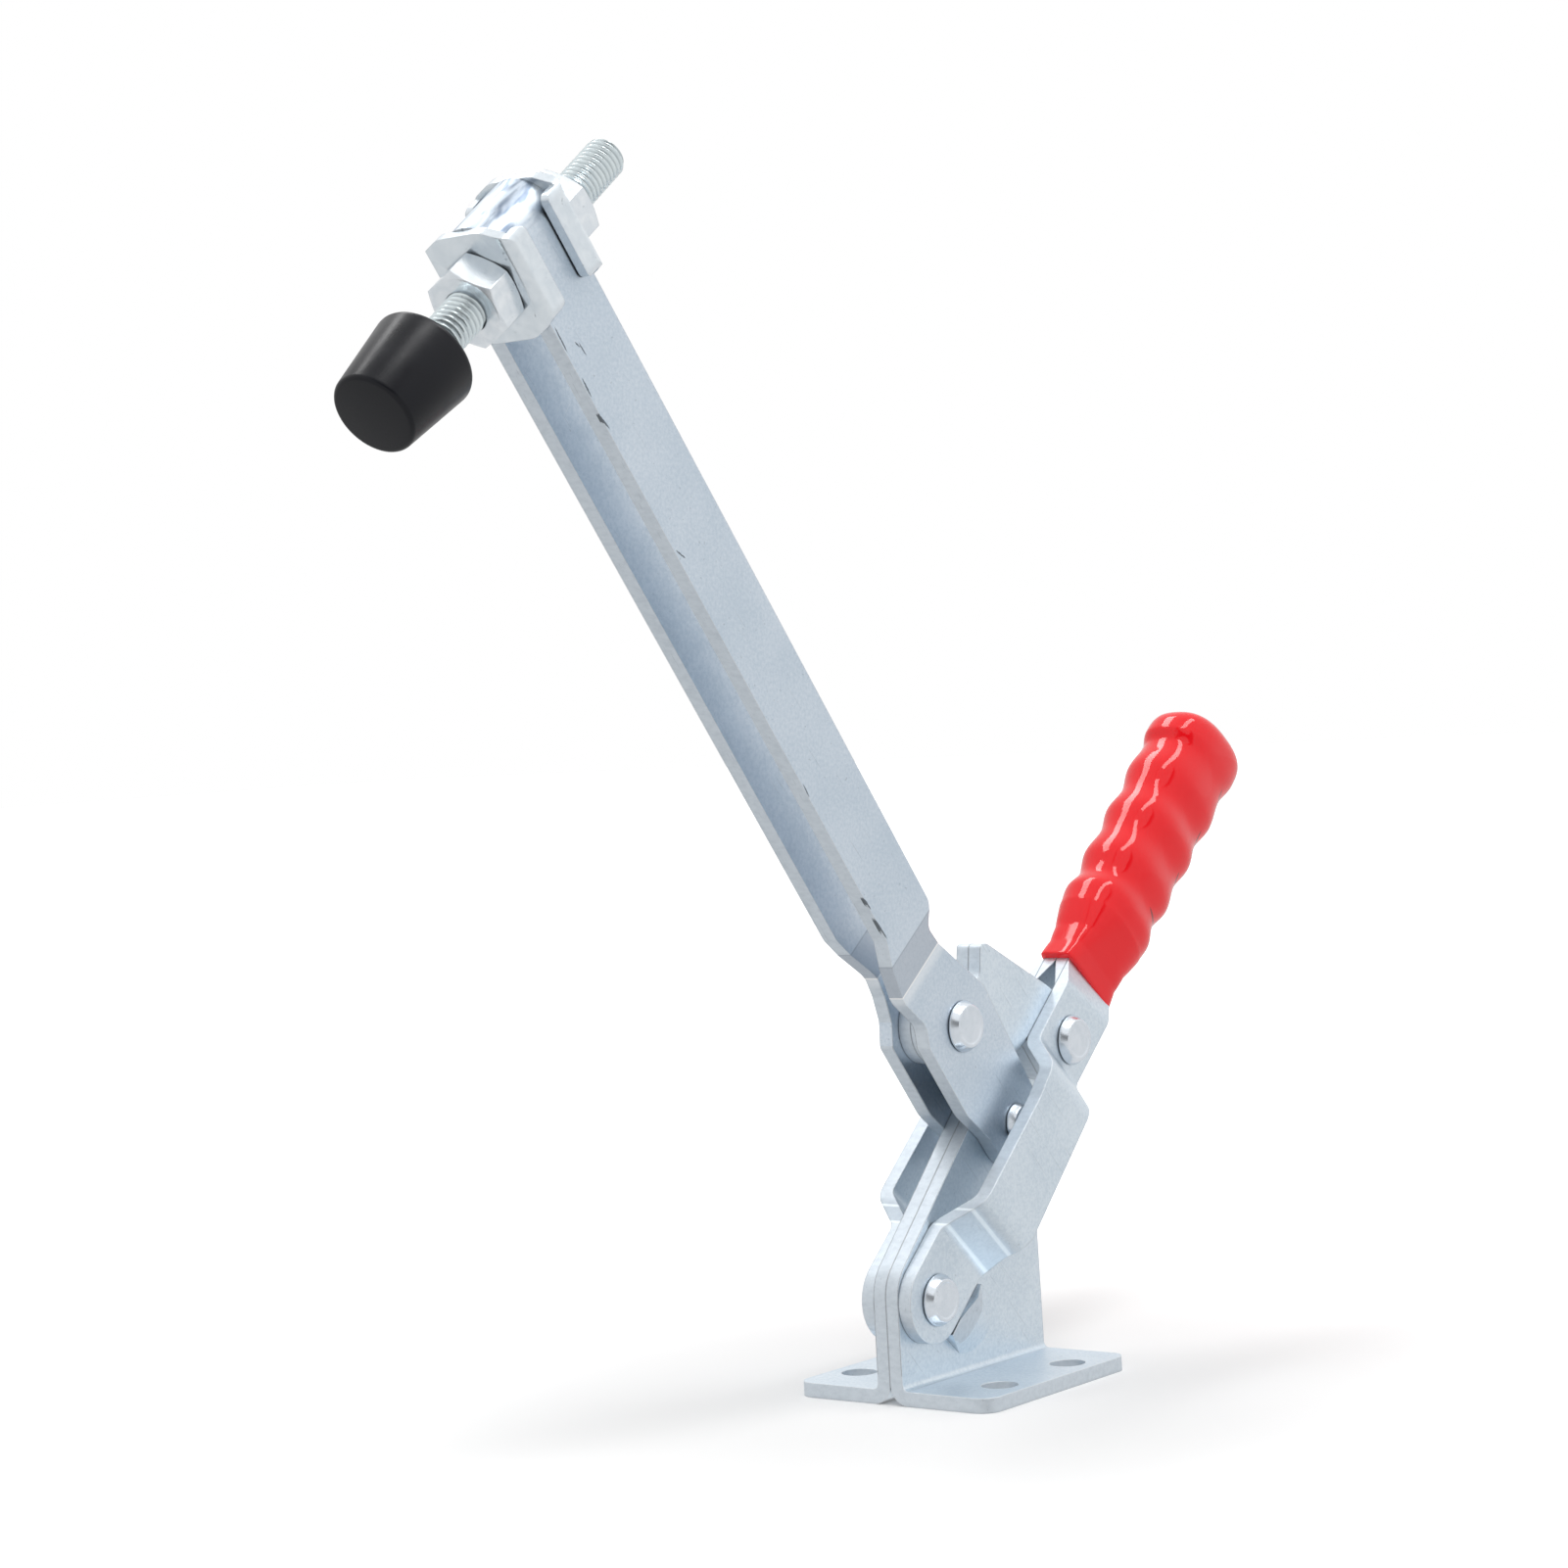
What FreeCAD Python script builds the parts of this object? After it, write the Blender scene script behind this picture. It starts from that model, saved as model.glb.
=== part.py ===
import FreeCAD, Part
import math
import os

V = FreeCAD.Vector

# Toggle clamp with an upright handle, drawn in its open position.
# X runs from the clamping side to the handle side, Y across the clamp, Z up.
# The origin is the middle of the four bolt holes on the underside of the base.

# Pivots of the linkage in the open position, as X and Z
base_handle_x = -15.6
base_handle_z = 19.8
base_arm_x = 14.8
base_arm_z = 51.4
handle_link_x = 36.8
handle_link_z = 66.0
arm_link_x = -2.4
arm_link_z = 73.0

# Sheet
sheet = 3.0
arm_sheet = 3.2
bend_in = 1.2

# Rivets; the one between base and arm is smaller than the other three
rivet_r = 4.0
head_r = 5.55
head_top_r = 4.3
small_rivet_r = 3.0
small_head_r = 4.25
small_head_top_r = 3.4
rivet_fit = 0.05
stray_spare = 0.1
head_rise = 2.1

# Base brackets
base_front = -25.0
base_back = 25.2
flange_reach = 23.8
flange_corner = 4.0
bolt_x = 12.1
bolt_y = 17.3
bolt_hole_r = 3.7
plate_end_r = 9.2
shoulder_r = 9.0
top_lean = 0.9

# Pressed half-moon stop; its free edge as along the handle, gap to the handle's rear edge and rise
stop_edge = [(-1.7, 0.8, 2.8), (2.2, 0.8, 2.7), (9.9, 3.4, 2.0), (13.5, 3.5, 1.0)]
# Its bow, as X and Z
stop_side_xz = (7.9, 15.0)
stop_bow_xz = (4.6, 9.4)
stop_tail_xz = (-5.3, 7.1)

# Handle plates, along and across the line from the base pivot to the link pivot
handle_front = 9.2
handle_rear = 8.2
ear_r = 8.6
ear_extra = 0.5
ear_flat = 13.0
handle_bend_in = 3.0
bulge_in = 10.5
bulge_start = 20.5
bulge_end = 54.5
bulge_slant = 0.105
link_ear_start = 61.8
link_ear_reach = 9.7
meet_reach = 16.7
meet_slant = 0.26
tang_reach = 85.0
tang_narrow = 0.5
tang_spare = 9.0
# Edges of the bulge as along, across and corner radius
handle_rear_edge = [(64.0, -8.0, 4), (55.4, -7.4, 2.5), (24.0, -8.8, 3), (17.0, -7.1, 4), (13.0, -8.2, 3)]
handle_front_edge = [(46.0, 8.8, 5), (54.0, 9.8, 5)]

# Dipped grip, stations measured from the link pivot along the handle
grip_start = 15.8
grip_rim_half = 10.2
grip_rim_thick = 4.1
grip_rim_square = 8.0
grip_rim_shift = 0.7
grip_shift = 1.0
grip_rim_slant = 0.09
grip_settle = 18.0
grip_square = 2.6
# Flare above the rim as along, half width and half thickness, and the squareness of each
grip_flare = [(20.2, 9.4, 4.7), (24.6, 9.5, 6.0), (27.7, 10.5, 7.0), (30.3, 11.3, 7.9)]
grip_flare_squares = [5.0, 3.6, 3.0, 2.6]
# Crests and hollows of the waves as along, half width and half thickness
grip_waves = [(34.5, 11.6, 8.4), (39.7, 10.4, 8.1), (45.7, 11.6, 8.5), (52.5, 10.9, 8.1), (58.7, 11.7, 8.6)]
grip_waves += [(65.0, 11.0, 8.1), (71.7, 12.0, 8.6), (79.0, 10.7, 8.1)]
# Rounded end
grip_dome_start = 84.4
grip_dome_length = 8.0
grip_dome_slant = 0.17
grip_dome_half = 12.5
grip_dome_thick = 8.5
grip_dome_square = 3.2

# Link plates, along and across the line from the arm pivot to the handle pivot
link_end_r = 9.2
link_end_low = 7.8
link_end_out = 9.5
link_pin_end_r = 8.5
link_pin_end_top = 5.5
link_waist = [(8.0, 4), (23.4, -3.9, 12), (28.6, -0.4, 2)]
link_lobe = [(34.2, 11.0, 2.5), (11.4, 17.8, 1.2), (9.3, 17.3, 1.0)]

# Clamping arm, along its own direction from the link pivot
arm_angle = 127.5
arm_gap = 9.06
arm_front = 8.96
arm_rear = 6.85
arm_length = 198.3
arm_joggle_near = 18.2
arm_joggle_far = 26.5
arm_end_r = 8.8
arm_wide_front = 11.3
arm_shoulder = -14.5
arm_heel_lift = 0.4
# Front and rear edges behind the joggle as along, across and corner radius
near_front_edge = [(4.5, arm_wide_front, 1.5), (8.6, 9.1, 4), (16.5, arm_wide_front, 4)]
near_front_edge += [(26.0, arm_wide_front, 2), (31.5, arm_front, 3)]
far_front_edge = [(4.5, arm_wide_front, 2), (8.6, 8.0, 4), (14.0, 6.2, 5), (18.7, 5.5, 6)]
far_front_edge += [(31.5, arm_front, 5)]
arm_rear_edge = [(27.8, -arm_rear, 3), (23.6, -3.5, 3), (17.6, -5.2, 3), (1.0, -11.0, 2.5)]

# Spindle and its fastenings, distances along the spindle from the middle of the arm
spindle_from_tip = 11.4
spindle_r = 4.0
spindle_up = 33.5
spindle_chamfer = 0.7
spindle_in_cap = 13.0
cap_start = 30.2
cap_face = 47.5
cap_big_r = 9.8
cap_face_r = 7.9
cap_back_edge = 0.9
cap_face_edge = 1.0
nut_flats = 14.0
nut_height = 6.9
nut_chamfer_r = 6.8
nut_turn = -6.0
nut_slope = 0.55
thread_fit = 0.05
washer = 2.0
washer_drop = 5.8
washer_side_gap = 0.3
washer_half = 8.6
washer_nose = 11.0
washer_corner = 1.4
washer_plan_corner = 2.4
washer_hole_gap = 0.5


def direction(angle):
    """Frame rotation as cosine and sine."""
    return math.cos(math.radians(angle)), math.sin(math.radians(angle))


class Plane:
    """A flat drawing frame in XZ with an origin and a direction for s; n is to its left."""

    def __init__(self, x, z, angle):
        self.x, self.z = x, z
        self.c, self.k = direction(angle)

    def at(self, s, n, y):
        return V(self.x + s * self.c - n * self.k, y, self.z + s * self.k + n * self.c)

    def across(self, length):
        """A vector of this length toward the n side."""
        return V(-length * self.k, 0, length * self.c)

    def along(self, length):
        return V(length * self.c, 0, length * self.k)

    def local(self, x, z):
        dx, dz = x - self.x, z - self.z
        return dx * self.c + dz * self.k, dz * self.c - dx * self.k


def rounded(corners):
    """Edges in the plane through corners (a, b, radius), each corner rounded."""
    marks = []
    count = len(corners)
    for i, (a, b, radius) in enumerate(corners):
        before = corners[i - 1]
        after = corners[(i + 1) % count]
        here = V(a, b, 0)
        u = V(before[0], before[1], 0) - here
        w = V(after[0], after[1], 0) - here
        room = min(u.Length, w.Length)
        u.normalize()
        w.normalize()
        half = 0.5 * u.getAngle(w)
        reach = radius / math.tan(half)
        if radius <= 0 or math.pi - 2 * half < 1e-6:
            marks.append((here,))
            continue
        if reach > 0.999 * room:
            raise ValueError("corner %d of the outline has too little room" % i)
        middle = here + (u + w).normalize() * (radius / math.sin(half))
        inward = (here - middle).normalize() * radius
        marks.append((here + u * reach, middle + inward, here + w * reach))
    return marks


def face(corners, place):
    """A face from rounded corners; place turns (a, b) into a point in space."""
    marks = [tuple(place(p.x, p.y) for p in mark) for mark in rounded(corners)]
    edges = []
    for i, mark in enumerate(marks):
        last = marks[i - 1][-1]
        if (mark[0] - last).Length > 1e-6:
            edges.append(Part.makeLine(last, mark[0]))
        if len(mark) == 3:
            edges.append(Part.Arc(mark[0], mark[1], mark[2]).toShape())
    return Part.Face(Part.Wire(edges))


def flat(points):
    """A face with straight edges."""
    return Part.Face(Part.makePolygon(points + points[:1]))


def slab(plane, corners, y0, y1):
    """A flat piece between two Y levels, outlined in a drawing frame."""
    side = face(corners, lambda s, n: plane.at(s, n, y0))
    return side.extrude(V(0, y1 - y0, 0))


def pin(plane, s, n, radius, y0, y1):
    return Part.makeCylinder(radius, y1 - y0, plane.at(s, n, y0), V(0, 1, 0))


def strip(path, thick, inner):
    """Corners of a bent strip; the path is its left-hand face as (a, b, radii or None)."""
    side = []
    for i, (a, b, bent) in enumerate(path):
        legs = []
        if i > 0:
            legs.append(V(a - path[i - 1][0], b - path[i - 1][1], 0).normalize())
        if i < len(path) - 1:
            legs.append(V(path[i + 1][0] - a, path[i + 1][1] - b, 0).normalize())
        normals = [V(leg.y, -leg.x, 0) for leg in legs]
        total = normals[0] + normals[-1]
        total = total * (2 * thick / total.dot(total))
        # The inside of a bend has the smaller radius, whichever side that is.
        turn = 0 if len(legs) < 2 else legs[0].cross(legs[1]).z * math.copysign(1, thick)
        outer = inner + abs(thick)
        first = 0 if turn == 0 else (inner if turn > 0 else outer)
        second = 0 if turn == 0 else (outer if turn > 0 else inner)
        if thick > 0:
            first, second = second, first
        if bent is not None:
            first, second = bent
        side.append(((a, b, first), (a + total.x, b + total.y, second)))
    # The far face is walked back to close the outline.
    return [pair[0] for pair in side] + [pair[1] for pair in reversed(side)]


def mirrored(shape):
    return shape.mirror(V(0, 0, 0), V(0, 1, 0))


def save(name, shape):
    solid = shape
    if shape.ShapeType != "Solid" and len(shape.Solids) == 1:
        solid = shape.Solids[0]
    solid.exportStep(os.path.join("parts", name + ".step"))


handle_length = math.hypot(handle_link_x - base_handle_x, handle_link_z - base_handle_z)
handle_angle = math.degrees(math.atan2(handle_link_z - base_handle_z, handle_link_x - base_handle_x))
link_length = math.hypot(handle_link_x - arm_link_x, handle_link_z - arm_link_z)
link_angle = math.degrees(math.atan2(handle_link_z - arm_link_z, handle_link_x - arm_link_x))
rocker = math.hypot(arm_link_x - base_arm_x, arm_link_z - base_arm_z)
rocker_angle = math.degrees(math.atan2(arm_link_z - base_arm_z, arm_link_x - base_arm_x))
ground = math.hypot(base_arm_x - base_handle_x, base_arm_z - base_handle_z)
ground_angle = math.degrees(math.atan2(base_arm_z - base_handle_z, base_arm_x - base_handle_x))

upright = Plane(0, 0, 0)
on_handle = Plane(base_handle_x, base_handle_z, handle_angle)
on_grip = Plane(handle_link_x, handle_link_z, handle_angle)
on_link = Plane(arm_link_x, arm_link_z, link_angle)
on_arm = Plane(arm_link_x, arm_link_z, arm_angle)
pin_r = rivet_r + rivet_fit
small_pin_r = small_rivet_r + rivet_fit

# Travel from open to clamped, where handle and link lie on one line
reach = handle_length - link_length
fold = math.degrees(math.acos((ground ** 2 + reach ** 2 - rocker ** 2) / (2 * ground * reach)))
handle_travel = ground_angle + fold - handle_angle
tilt = math.degrees(math.acos((ground ** 2 + rocker ** 2 - reach ** 2) / (2 * ground * rocker)))
arm_travel = 180 + ground_angle - tilt - rocker_angle
link_travel = handle_angle + handle_travel - link_angle


def stop_wedge():
    """Half-moon pressed outward, full height at its free edge and flush round its bow."""
    low = [on_handle.at(s, -handle_rear - gap, -sheet) for s, gap, rise in stop_edge]
    high = [point - V(0, edge[2], 0) for point, edge in zip(low, stop_edge)]
    side, bow, tail = (V(x, -sheet, z) for x, z in (stop_side_xz, stop_bow_xz, stop_tail_xz))
    rim = Part.Arc(tail, bow, side).toShape()
    first, last = rim.ParameterRange
    count = len(stop_edge) - 1
    pieces = rim.split([first + (last - first) * i / count for i in range(1, count)]).Edges
    edges = [Part.makeLine(low[i], low[i + 1]) for i in range(count)]
    edges += [Part.makeLine(low[-1], side), rim, Part.makeLine(tail, low[0])]
    faces = [Part.Face(Part.Wire(Part.__sortEdges__(edges)))]
    faces += [flat([low[0], high[0], tail]), flat([low[-1], side, high[-1]])]
    for i in range(count):
        faces.append(flat([low[i], low[i + 1], high[i + 1], high[i]]))
        faces.append(Part.makeRuledSurface(Part.makeLine(high[i], high[i + 1]), pieces[i]))
    shell = Part.Shell(faces)
    shell.sewShape()
    wedge = Part.Solid(shell)
    if wedge.Volume < 0:
        wedge.reverse()
    return wedge


def bracket():
    # The sheet runs down the plate and out along the flange.
    bend = bend_in + sheet
    peak = base_arm_z + plate_end_r
    over = peak + 10
    corners = [(0, over, 0), (0, 0, bend), (-flange_reach, 0, 0), (-flange_reach, sheet, 0)]
    corners += [(-sheet, sheet, bend_in), (-sheet, over, 0)]
    body = face(corners, lambda y, z: V(base_front, y, z)).extrude(V(base_back - base_front, 0, 0))
    # The front edge slopes at 45 degrees to touch the round top.
    tip_x = base_arm_x - plate_end_r * math.sqrt(0.5)
    tip_z = base_arm_z + plate_end_r * math.sqrt(0.5)
    rise = tip_z - (tip_x - base_front)
    outline = [(base_front, -1, 0), (base_front, rise, shoulder_r)]
    outline += [(peak - rise + base_front, peak, plate_end_r * 0.999)]
    outline += [(base_back - top_lean, peak, plate_end_r * 0.95), (base_back, -1, 0)]
    body = body.common(slab(upright, outline, -flange_reach - 1, 1))
    foot = [(base_front, 1, 0), (base_front, -flange_reach, flange_corner)]
    foot += [(base_back, -flange_reach, flange_corner), (base_back, 1, 0)]
    body = body.common(face(foot, lambda x, y: V(x, y, -1)).extrude(V(0, 0, over)))
    for x in (-bolt_x, bolt_x):
        body = body.cut(Part.makeCylinder(bolt_hole_r, sheet + 2, V(x, -bolt_y, -1)))
    body = body.cut(pin(upright, base_handle_x, base_handle_z, pin_r, -sheet - 1, 1))
    body = body.cut(pin(upright, base_arm_x, base_arm_z, small_pin_r, -sheet - 1, 1))
    wedge = stop_wedge()
    pocket = wedge.copy()
    pocket.translate(V(0, sheet, 0))
    return body.fuse(wedge).cut(pocket).removeSplitter()


def rivet_stray():
    """Limits along and across the link plates that the arm rivet strays to, with even gearing."""
    places = []
    steps = 40
    for i in range(steps + 1):
        share = i / steps
        pivot = Plane(base_arm_x, base_arm_z, rocker_angle + share * arm_travel)
        rivet_at = pivot.at(rocker, 0, 0)
        swung = Plane(base_handle_x, base_handle_z, handle_angle + share * handle_travel)
        joint = swung.at(handle_length, 0, 0)
        turned = Plane(joint.x, joint.z, link_angle + share * link_travel)
        s, n = turned.local(rivet_at.x, rivet_at.z)
        places.append((s + link_length, n))
    return [(min(row), max(row)) for row in zip(*places)]


def link_plate():
    # The lower edge is waisted to pass over the round top of the brackets.
    end = link_length + link_pin_end_r
    low = -link_pin_end_r
    corners = [(-link_end_out, -link_end_low, link_end_low * 0.99)]
    corners += [(link_waist[0][0], -link_end_low, link_waist[0][1])] + link_waist[1:]
    corners += [(link_length - 2.0, low, 3), (end, low, 8), (end, link_pin_end_top, 6)]
    corners += link_lobe + [(link_lobe[-1][0] + 0.5, link_end_r, 3)]
    corners += [(-link_end_out, link_end_r, link_end_r * 0.99)]
    plate = slab(on_link, corners, -sheet, 0)
    plate = plate.cut(pin(on_link, link_length, 0, pin_r, -sheet - 1, 1))
    # The hole for the arm's rivet is a window that covers its stray on the way.
    (back, ahead), (under, above) = rivet_stray()
    back, ahead = back - pin_r, ahead + pin_r + stray_spare
    under, above = under - pin_r - stray_spare, above + pin_r + stray_spare
    window = [(s, n, rivet_r) for s, n in ((back, under), (ahead, under), (ahead, above), (back, above))]
    return plate.cut(slab(on_link, window, -sheet - 1, 1))


def handle_band(slant, s0, s1):
    """Stretch of the bent strip; with a slant the front edge bends before the rear edge."""
    out = handle_length
    path = [(out + tang_reach + tang_spare, 0), (out + meet_reach, 0), (out + link_ear_reach, -sheet)]
    path += [(link_ear_start, -sheet), (bulge_end, -bulge_in), (bulge_start, -bulge_in)]
    path += [(ear_flat, -sheet), (-2 * ear_r, -sheet)]
    corners = strip([(s, y, None) for s, y in path], -sheet, handle_bend_in)
    low, high = -2 * handle_rear, 2 * handle_front
    side = face(corners, lambda s, y: on_handle.at(s - slant * low, low, y))
    band = side.extrude(on_handle.across(high - low) - on_handle.along(slant * (high - low)))
    window = [(s0, low, 0), (s1, low, 0), (s1, high, 0), (s0, high, 0)]
    return band.common(slab(on_handle, window, -bulge_in - sheet - 1, 1))


def handle_plate():
    out = handle_length
    band = handle_band(bulge_slant, -ear_r - ear_extra - 1, out)
    band = band.fuse(handle_band(meet_slant, out, out + tang_reach + 1))
    front, rear = handle_front, -handle_rear
    end = -ear_r - ear_extra
    tip = out + tang_reach
    outline = [(end, rear, ear_r * 0.99), (end, front, ear_r)] + handle_front_edge
    outline += [(link_ear_start, front, 3), (out + meet_reach, front, 0)]
    outline += [(tip, front - tang_narrow, 6), (tip, rear + tang_narrow, 6)]
    outline += [(out + meet_reach, rear, 0)] + handle_rear_edge
    plate = band.common(slab(on_handle, outline, -bulge_in - sheet - 2, 1))
    plate = plate.cut(pin(on_handle, 0, 0, pin_r, -3 * sheet, 1))
    return plate.cut(pin(on_handle, out, 0, pin_r, -3 * sheet, 1)).removeSplitter()


def grip_section(s, wide, thick, power):
    """One closed section of the grip; both ends are slanted and the rim is less offset."""
    young = max(0.0, 1 - (s - grip_start) / grip_settle)
    old = max(0.0, 1 - (grip_dome_start - s) / (grip_dome_start - grip_waves[-1][0]))
    shift = grip_shift + (grip_rim_shift - grip_shift) * young
    slant = grip_rim_slant * young + grip_dome_slant * min(1.0, old)
    points = []
    count = 20
    for i in range(count):
        turn = 2 * math.pi * (i + 0.5) / count
        c, k = math.cos(turn), math.sin(turn)
        out = (abs(c / wide) ** power + abs(k / thick) ** power) ** (-1 / power)
        n = shift + out * c
        points.append(on_grip.at(s - slant * n, n, out * k))
    curve = Part.BSplineCurve()
    curve.interpolate(Points=points, PeriodicFlag=True, Parameters=list(range(count + 1)))
    return Part.Wire(curve.toShape())


def grip():
    sections = [(grip_start, grip_rim_half, grip_rim_thick, grip_rim_square)]
    sections += [row + (power,) for row, power in zip(grip_flare, grip_flare_squares)]
    # Between crest and hollow the outline follows a smooth wave.
    steps = 3
    before = grip_flare[-1]
    for row in grip_waves + [(grip_dome_start, grip_dome_half, grip_dome_thick)]:
        for i in range(1, steps + 1):
            share = i / steps
            ease = share ** 2 * (3 - 2 * share)
            s = before[0] + (row[0] - before[0]) * share
            wide, thick = (a + (b - a) * ease for a, b in zip(before[1:], row[1:]))
            sections.append((s, wide, thick, grip_square))
        before = row
    power = grip_dome_square
    for share in (0.35, 0.6, 0.78, 0.9, 0.97, 0.998):
        part = (1 - share ** power) ** (1 / power)
        s = grip_dome_start + grip_dome_length * share
        sections.append((s, grip_dome_half * part, grip_dome_thick * part, grip_square))
    return Part.makeLoft([grip_section(*row) for row in sections], True, True)


def arm():
    half = arm_gap / 2
    joggle = sheet
    back = -rocker - arm_end_r - 2
    tip = arm_length - arm_sheet
    turn = (half * 0.995, half * 0.995 + arm_sheet)
    path = [(back, -joggle, None), (arm_joggle_near, -joggle, None)]
    path += [(arm_joggle_far, -half, None), (tip, -half, turn), (tip, half, turn)]
    path += [(arm_joggle_far, half, None), (arm_joggle_near, joggle, None), (back, joggle, None)]
    corners = strip(path, arm_sheet, bend_in)
    depth = 2 * arm_wide_front
    band = face(corners, lambda s, y: on_arm.at(s, -depth, y)).extrude(on_arm.across(2 * depth))
    s3, n3 = on_arm.local(base_arm_x, base_arm_z)
    end = s3 - arm_end_r
    turned = arm_end_r * 0.98
    behind = [(end, n3 - arm_end_r + arm_heel_lift / 2, turned), (end, n3 + arm_end_r, turned)]
    behind += [(s3 + arm_end_r / 2, n3 + arm_end_r + arm_heel_lift, 3)]
    behind += [(arm_shoulder, arm_wide_front - arm_heel_lift / 2, 6)]
    ahead = [(arm_length + 2, arm_front, 0), (arm_length + 2, -arm_rear, 0)] + arm_rear_edge
    reach_y = arm_gap + 2 * arm_sheet
    near = band.common(slab(on_arm, behind + near_front_edge + ahead, -reach_y, 0))
    far = band.common(slab(on_arm, behind + far_front_edge + ahead, 0, reach_y))
    bar = near.fuse(far).removeSplitter()
    bar = bar.cut(pin(on_arm, 0, 0, pin_r, -reach_y, reach_y))
    return bar.cut(pin(on_arm, s3, n3, small_pin_r, -reach_y, reach_y))


def rivet(x, z, half, shank_r, wide_r, top_r):
    """A riveted pin with the same low cone head on both ends."""
    body = pin(upright, x, z, shank_r, -half, half)
    for side in (-1, 1):
        head = Part.makeCone(wide_r, top_r, head_rise, V(x, side * half, z), V(0, side, 0))
        body = body.fuse(head)
    return body


arm_mid = 0.5 * (arm_front - arm_rear)
arm_half = 0.5 * (arm_front + arm_rear)
spindle_foot = on_arm.at(arm_length - spindle_from_tip, arm_mid, 0)
down = on_arm.across(1)


def spindle_point(a, y, c):
    """A point by distance along the arm, across it and along the spindle."""
    return spindle_foot + on_arm.along(a) + V(0, y, 0) + down * c


def spindle():
    length = spindle_up + cap_start + spindle_in_cap
    rod = Part.makeCylinder(spindle_r, length, spindle_point(0, 0, -spindle_up), down)
    rims = [e for e in rod.Edges if e.Closed and len(e.Vertexes) == 1]
    return rod.makeChamfer(spindle_chamfer, rims)


def cap():
    bore = spindle_r + thread_fit
    bore_end = cap_start + spindle_in_cap
    back, front = cap_start + cap_back_edge, cap_face - cap_face_edge
    profile = [(bore, cap_start), (cap_big_r - cap_back_edge, cap_start), (cap_big_r, back)]
    profile += [(cap_face_r, front), (cap_face_r - cap_face_edge, cap_face), (0, cap_face)]
    profile += [(0, bore_end), (bore, bore_end)]
    half = flat([spindle_point(0, r, c) for r, c in profile])
    return half.revolve(spindle_foot, down, 360)


def nut(c0):
    corner = nut_flats / math.sqrt(3)
    points = []
    for i in range(6):
        turn = math.radians(60 * i + nut_turn)
        points.append(spindle_point(corner * math.cos(turn), corner * math.sin(turn), c0))
    body = flat(points).extrude(down * nut_height)
    wide = nut_chamfer_r + nut_height / nut_slope
    for start, way in ((c0, 1), (c0 + nut_height, -1)):
        bevel = Part.makeCone(nut_chamfer_r, wide, nut_height, spindle_point(0, 0, start), down * way)
        body = body.common(bevel)
    bore = spindle_r + thread_fit
    return body.cut(Part.makeCylinder(bore, nut_height + 2, spindle_point(0, 0, c0 - 1), down))


def flanged_washer(side):
    """Washer with both edges turned over the arm; side is +1 by the cap, -1 above."""
    inner = arm_gap / 2 + arm_sheet + washer_side_gap
    outer = inner + washer
    top = arm_half + washer
    foot = top - washer_drop
    bend = washer_side_gap / 2
    corners = [(-outer, foot, 0), (-outer, top, bend + washer), (outer, top, bend + washer)]
    corners += [(outer, foot, 0), (inner, foot, 0), (inner, arm_half, bend)]
    corners += [(-inner, arm_half, bend), (-inner, foot, 0)]
    far = washer_nose + 1
    body = face(corners, lambda y, c: spindle_point(-far, y, side * c)).extrude(on_arm.along(2 * far))
    # Seen from the side the turned edges have rounded corners.
    low, high = -washer_half, washer_half
    outline = [(-far, arm_half, 0), (low, arm_half, 0), (low, foot, washer_corner)]
    outline += [(high, foot, washer_corner), (high, arm_half, 0), (far, arm_half, 0)]
    outline += [(far, top + 1, 0), (-far, top + 1, 0)]
    tall = face(outline, lambda a, c: spindle_point(a, -outer - 1, side * c))
    body = body.common(tall.extrude(V(0, 2 * outer + 2, 0)))
    # The plan is a barrel: straight turned edges and bowed ends, with rounded corners between.
    c0 = -2 * top
    plan = [(low, -outer, washer_plan_corner), (high, -outer, washer_plan_corner)]
    plan += [(washer_nose, -outer / 2, outer / 2), (washer_nose, outer / 2, outer / 2)]
    plan += [(high, outer, washer_plan_corner), (low, outer, washer_plan_corner)]
    plan += [(-washer_nose, outer / 2, outer / 2), (-washer_nose, -outer / 2, outer / 2)]
    shadow = face(plan, lambda a, y: spindle_point(a, y, c0))
    body = body.common(shadow.extrude(down * (4 * top)))
    hole = spindle_r + washer_hole_gap
    return body.cut(Part.makeCylinder(hole, 4 * top, spindle_point(0, 0, c0), down))


os.makedirs("parts", exist_ok=True)

near_bracket = bracket()
save("bracket_near", near_bracket)
save("bracket_far", mirrored(near_bracket))

near_handle = handle_plate()
far_handle = mirrored(near_handle)
save("handle_plate_near", near_handle)
save("handle_plate_far", far_handle)
save("grip", grip().cut(near_handle).cut(far_handle))

near_link = link_plate()
save("link_plate_near", near_link)
save("link_plate_far", mirrored(near_link))

save("clamping_arm", arm())

# Each rivet's grip is the stack of plates between its heads.
plates = 2 * sheet
legs = sheet + arm_sheet
save("rivet_base_handle", rivet(base_handle_x, base_handle_z, plates, rivet_r, head_r, head_top_r))
save("rivet_handle_link", rivet(handle_link_x, handle_link_z, plates, rivet_r, head_r, head_top_r))
save("rivet_arm_link", rivet(arm_link_x, arm_link_z, legs, rivet_r, head_r, head_top_r))
save("rivet_base_arm", rivet(base_arm_x, base_arm_z, legs, small_rivet_r, small_head_r, small_head_top_r))

save("washer_upper", flanged_washer(-1))
save("washer_lower", flanged_washer(1))
save("nut_upper", nut(-arm_half - washer - nut_height))
save("nut_lower", nut(arm_half + washer))
save("spindle", spindle())
save("rubber_cap", cap())
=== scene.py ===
import math

import bpy
from mathutils import Matrix, Vector


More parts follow.
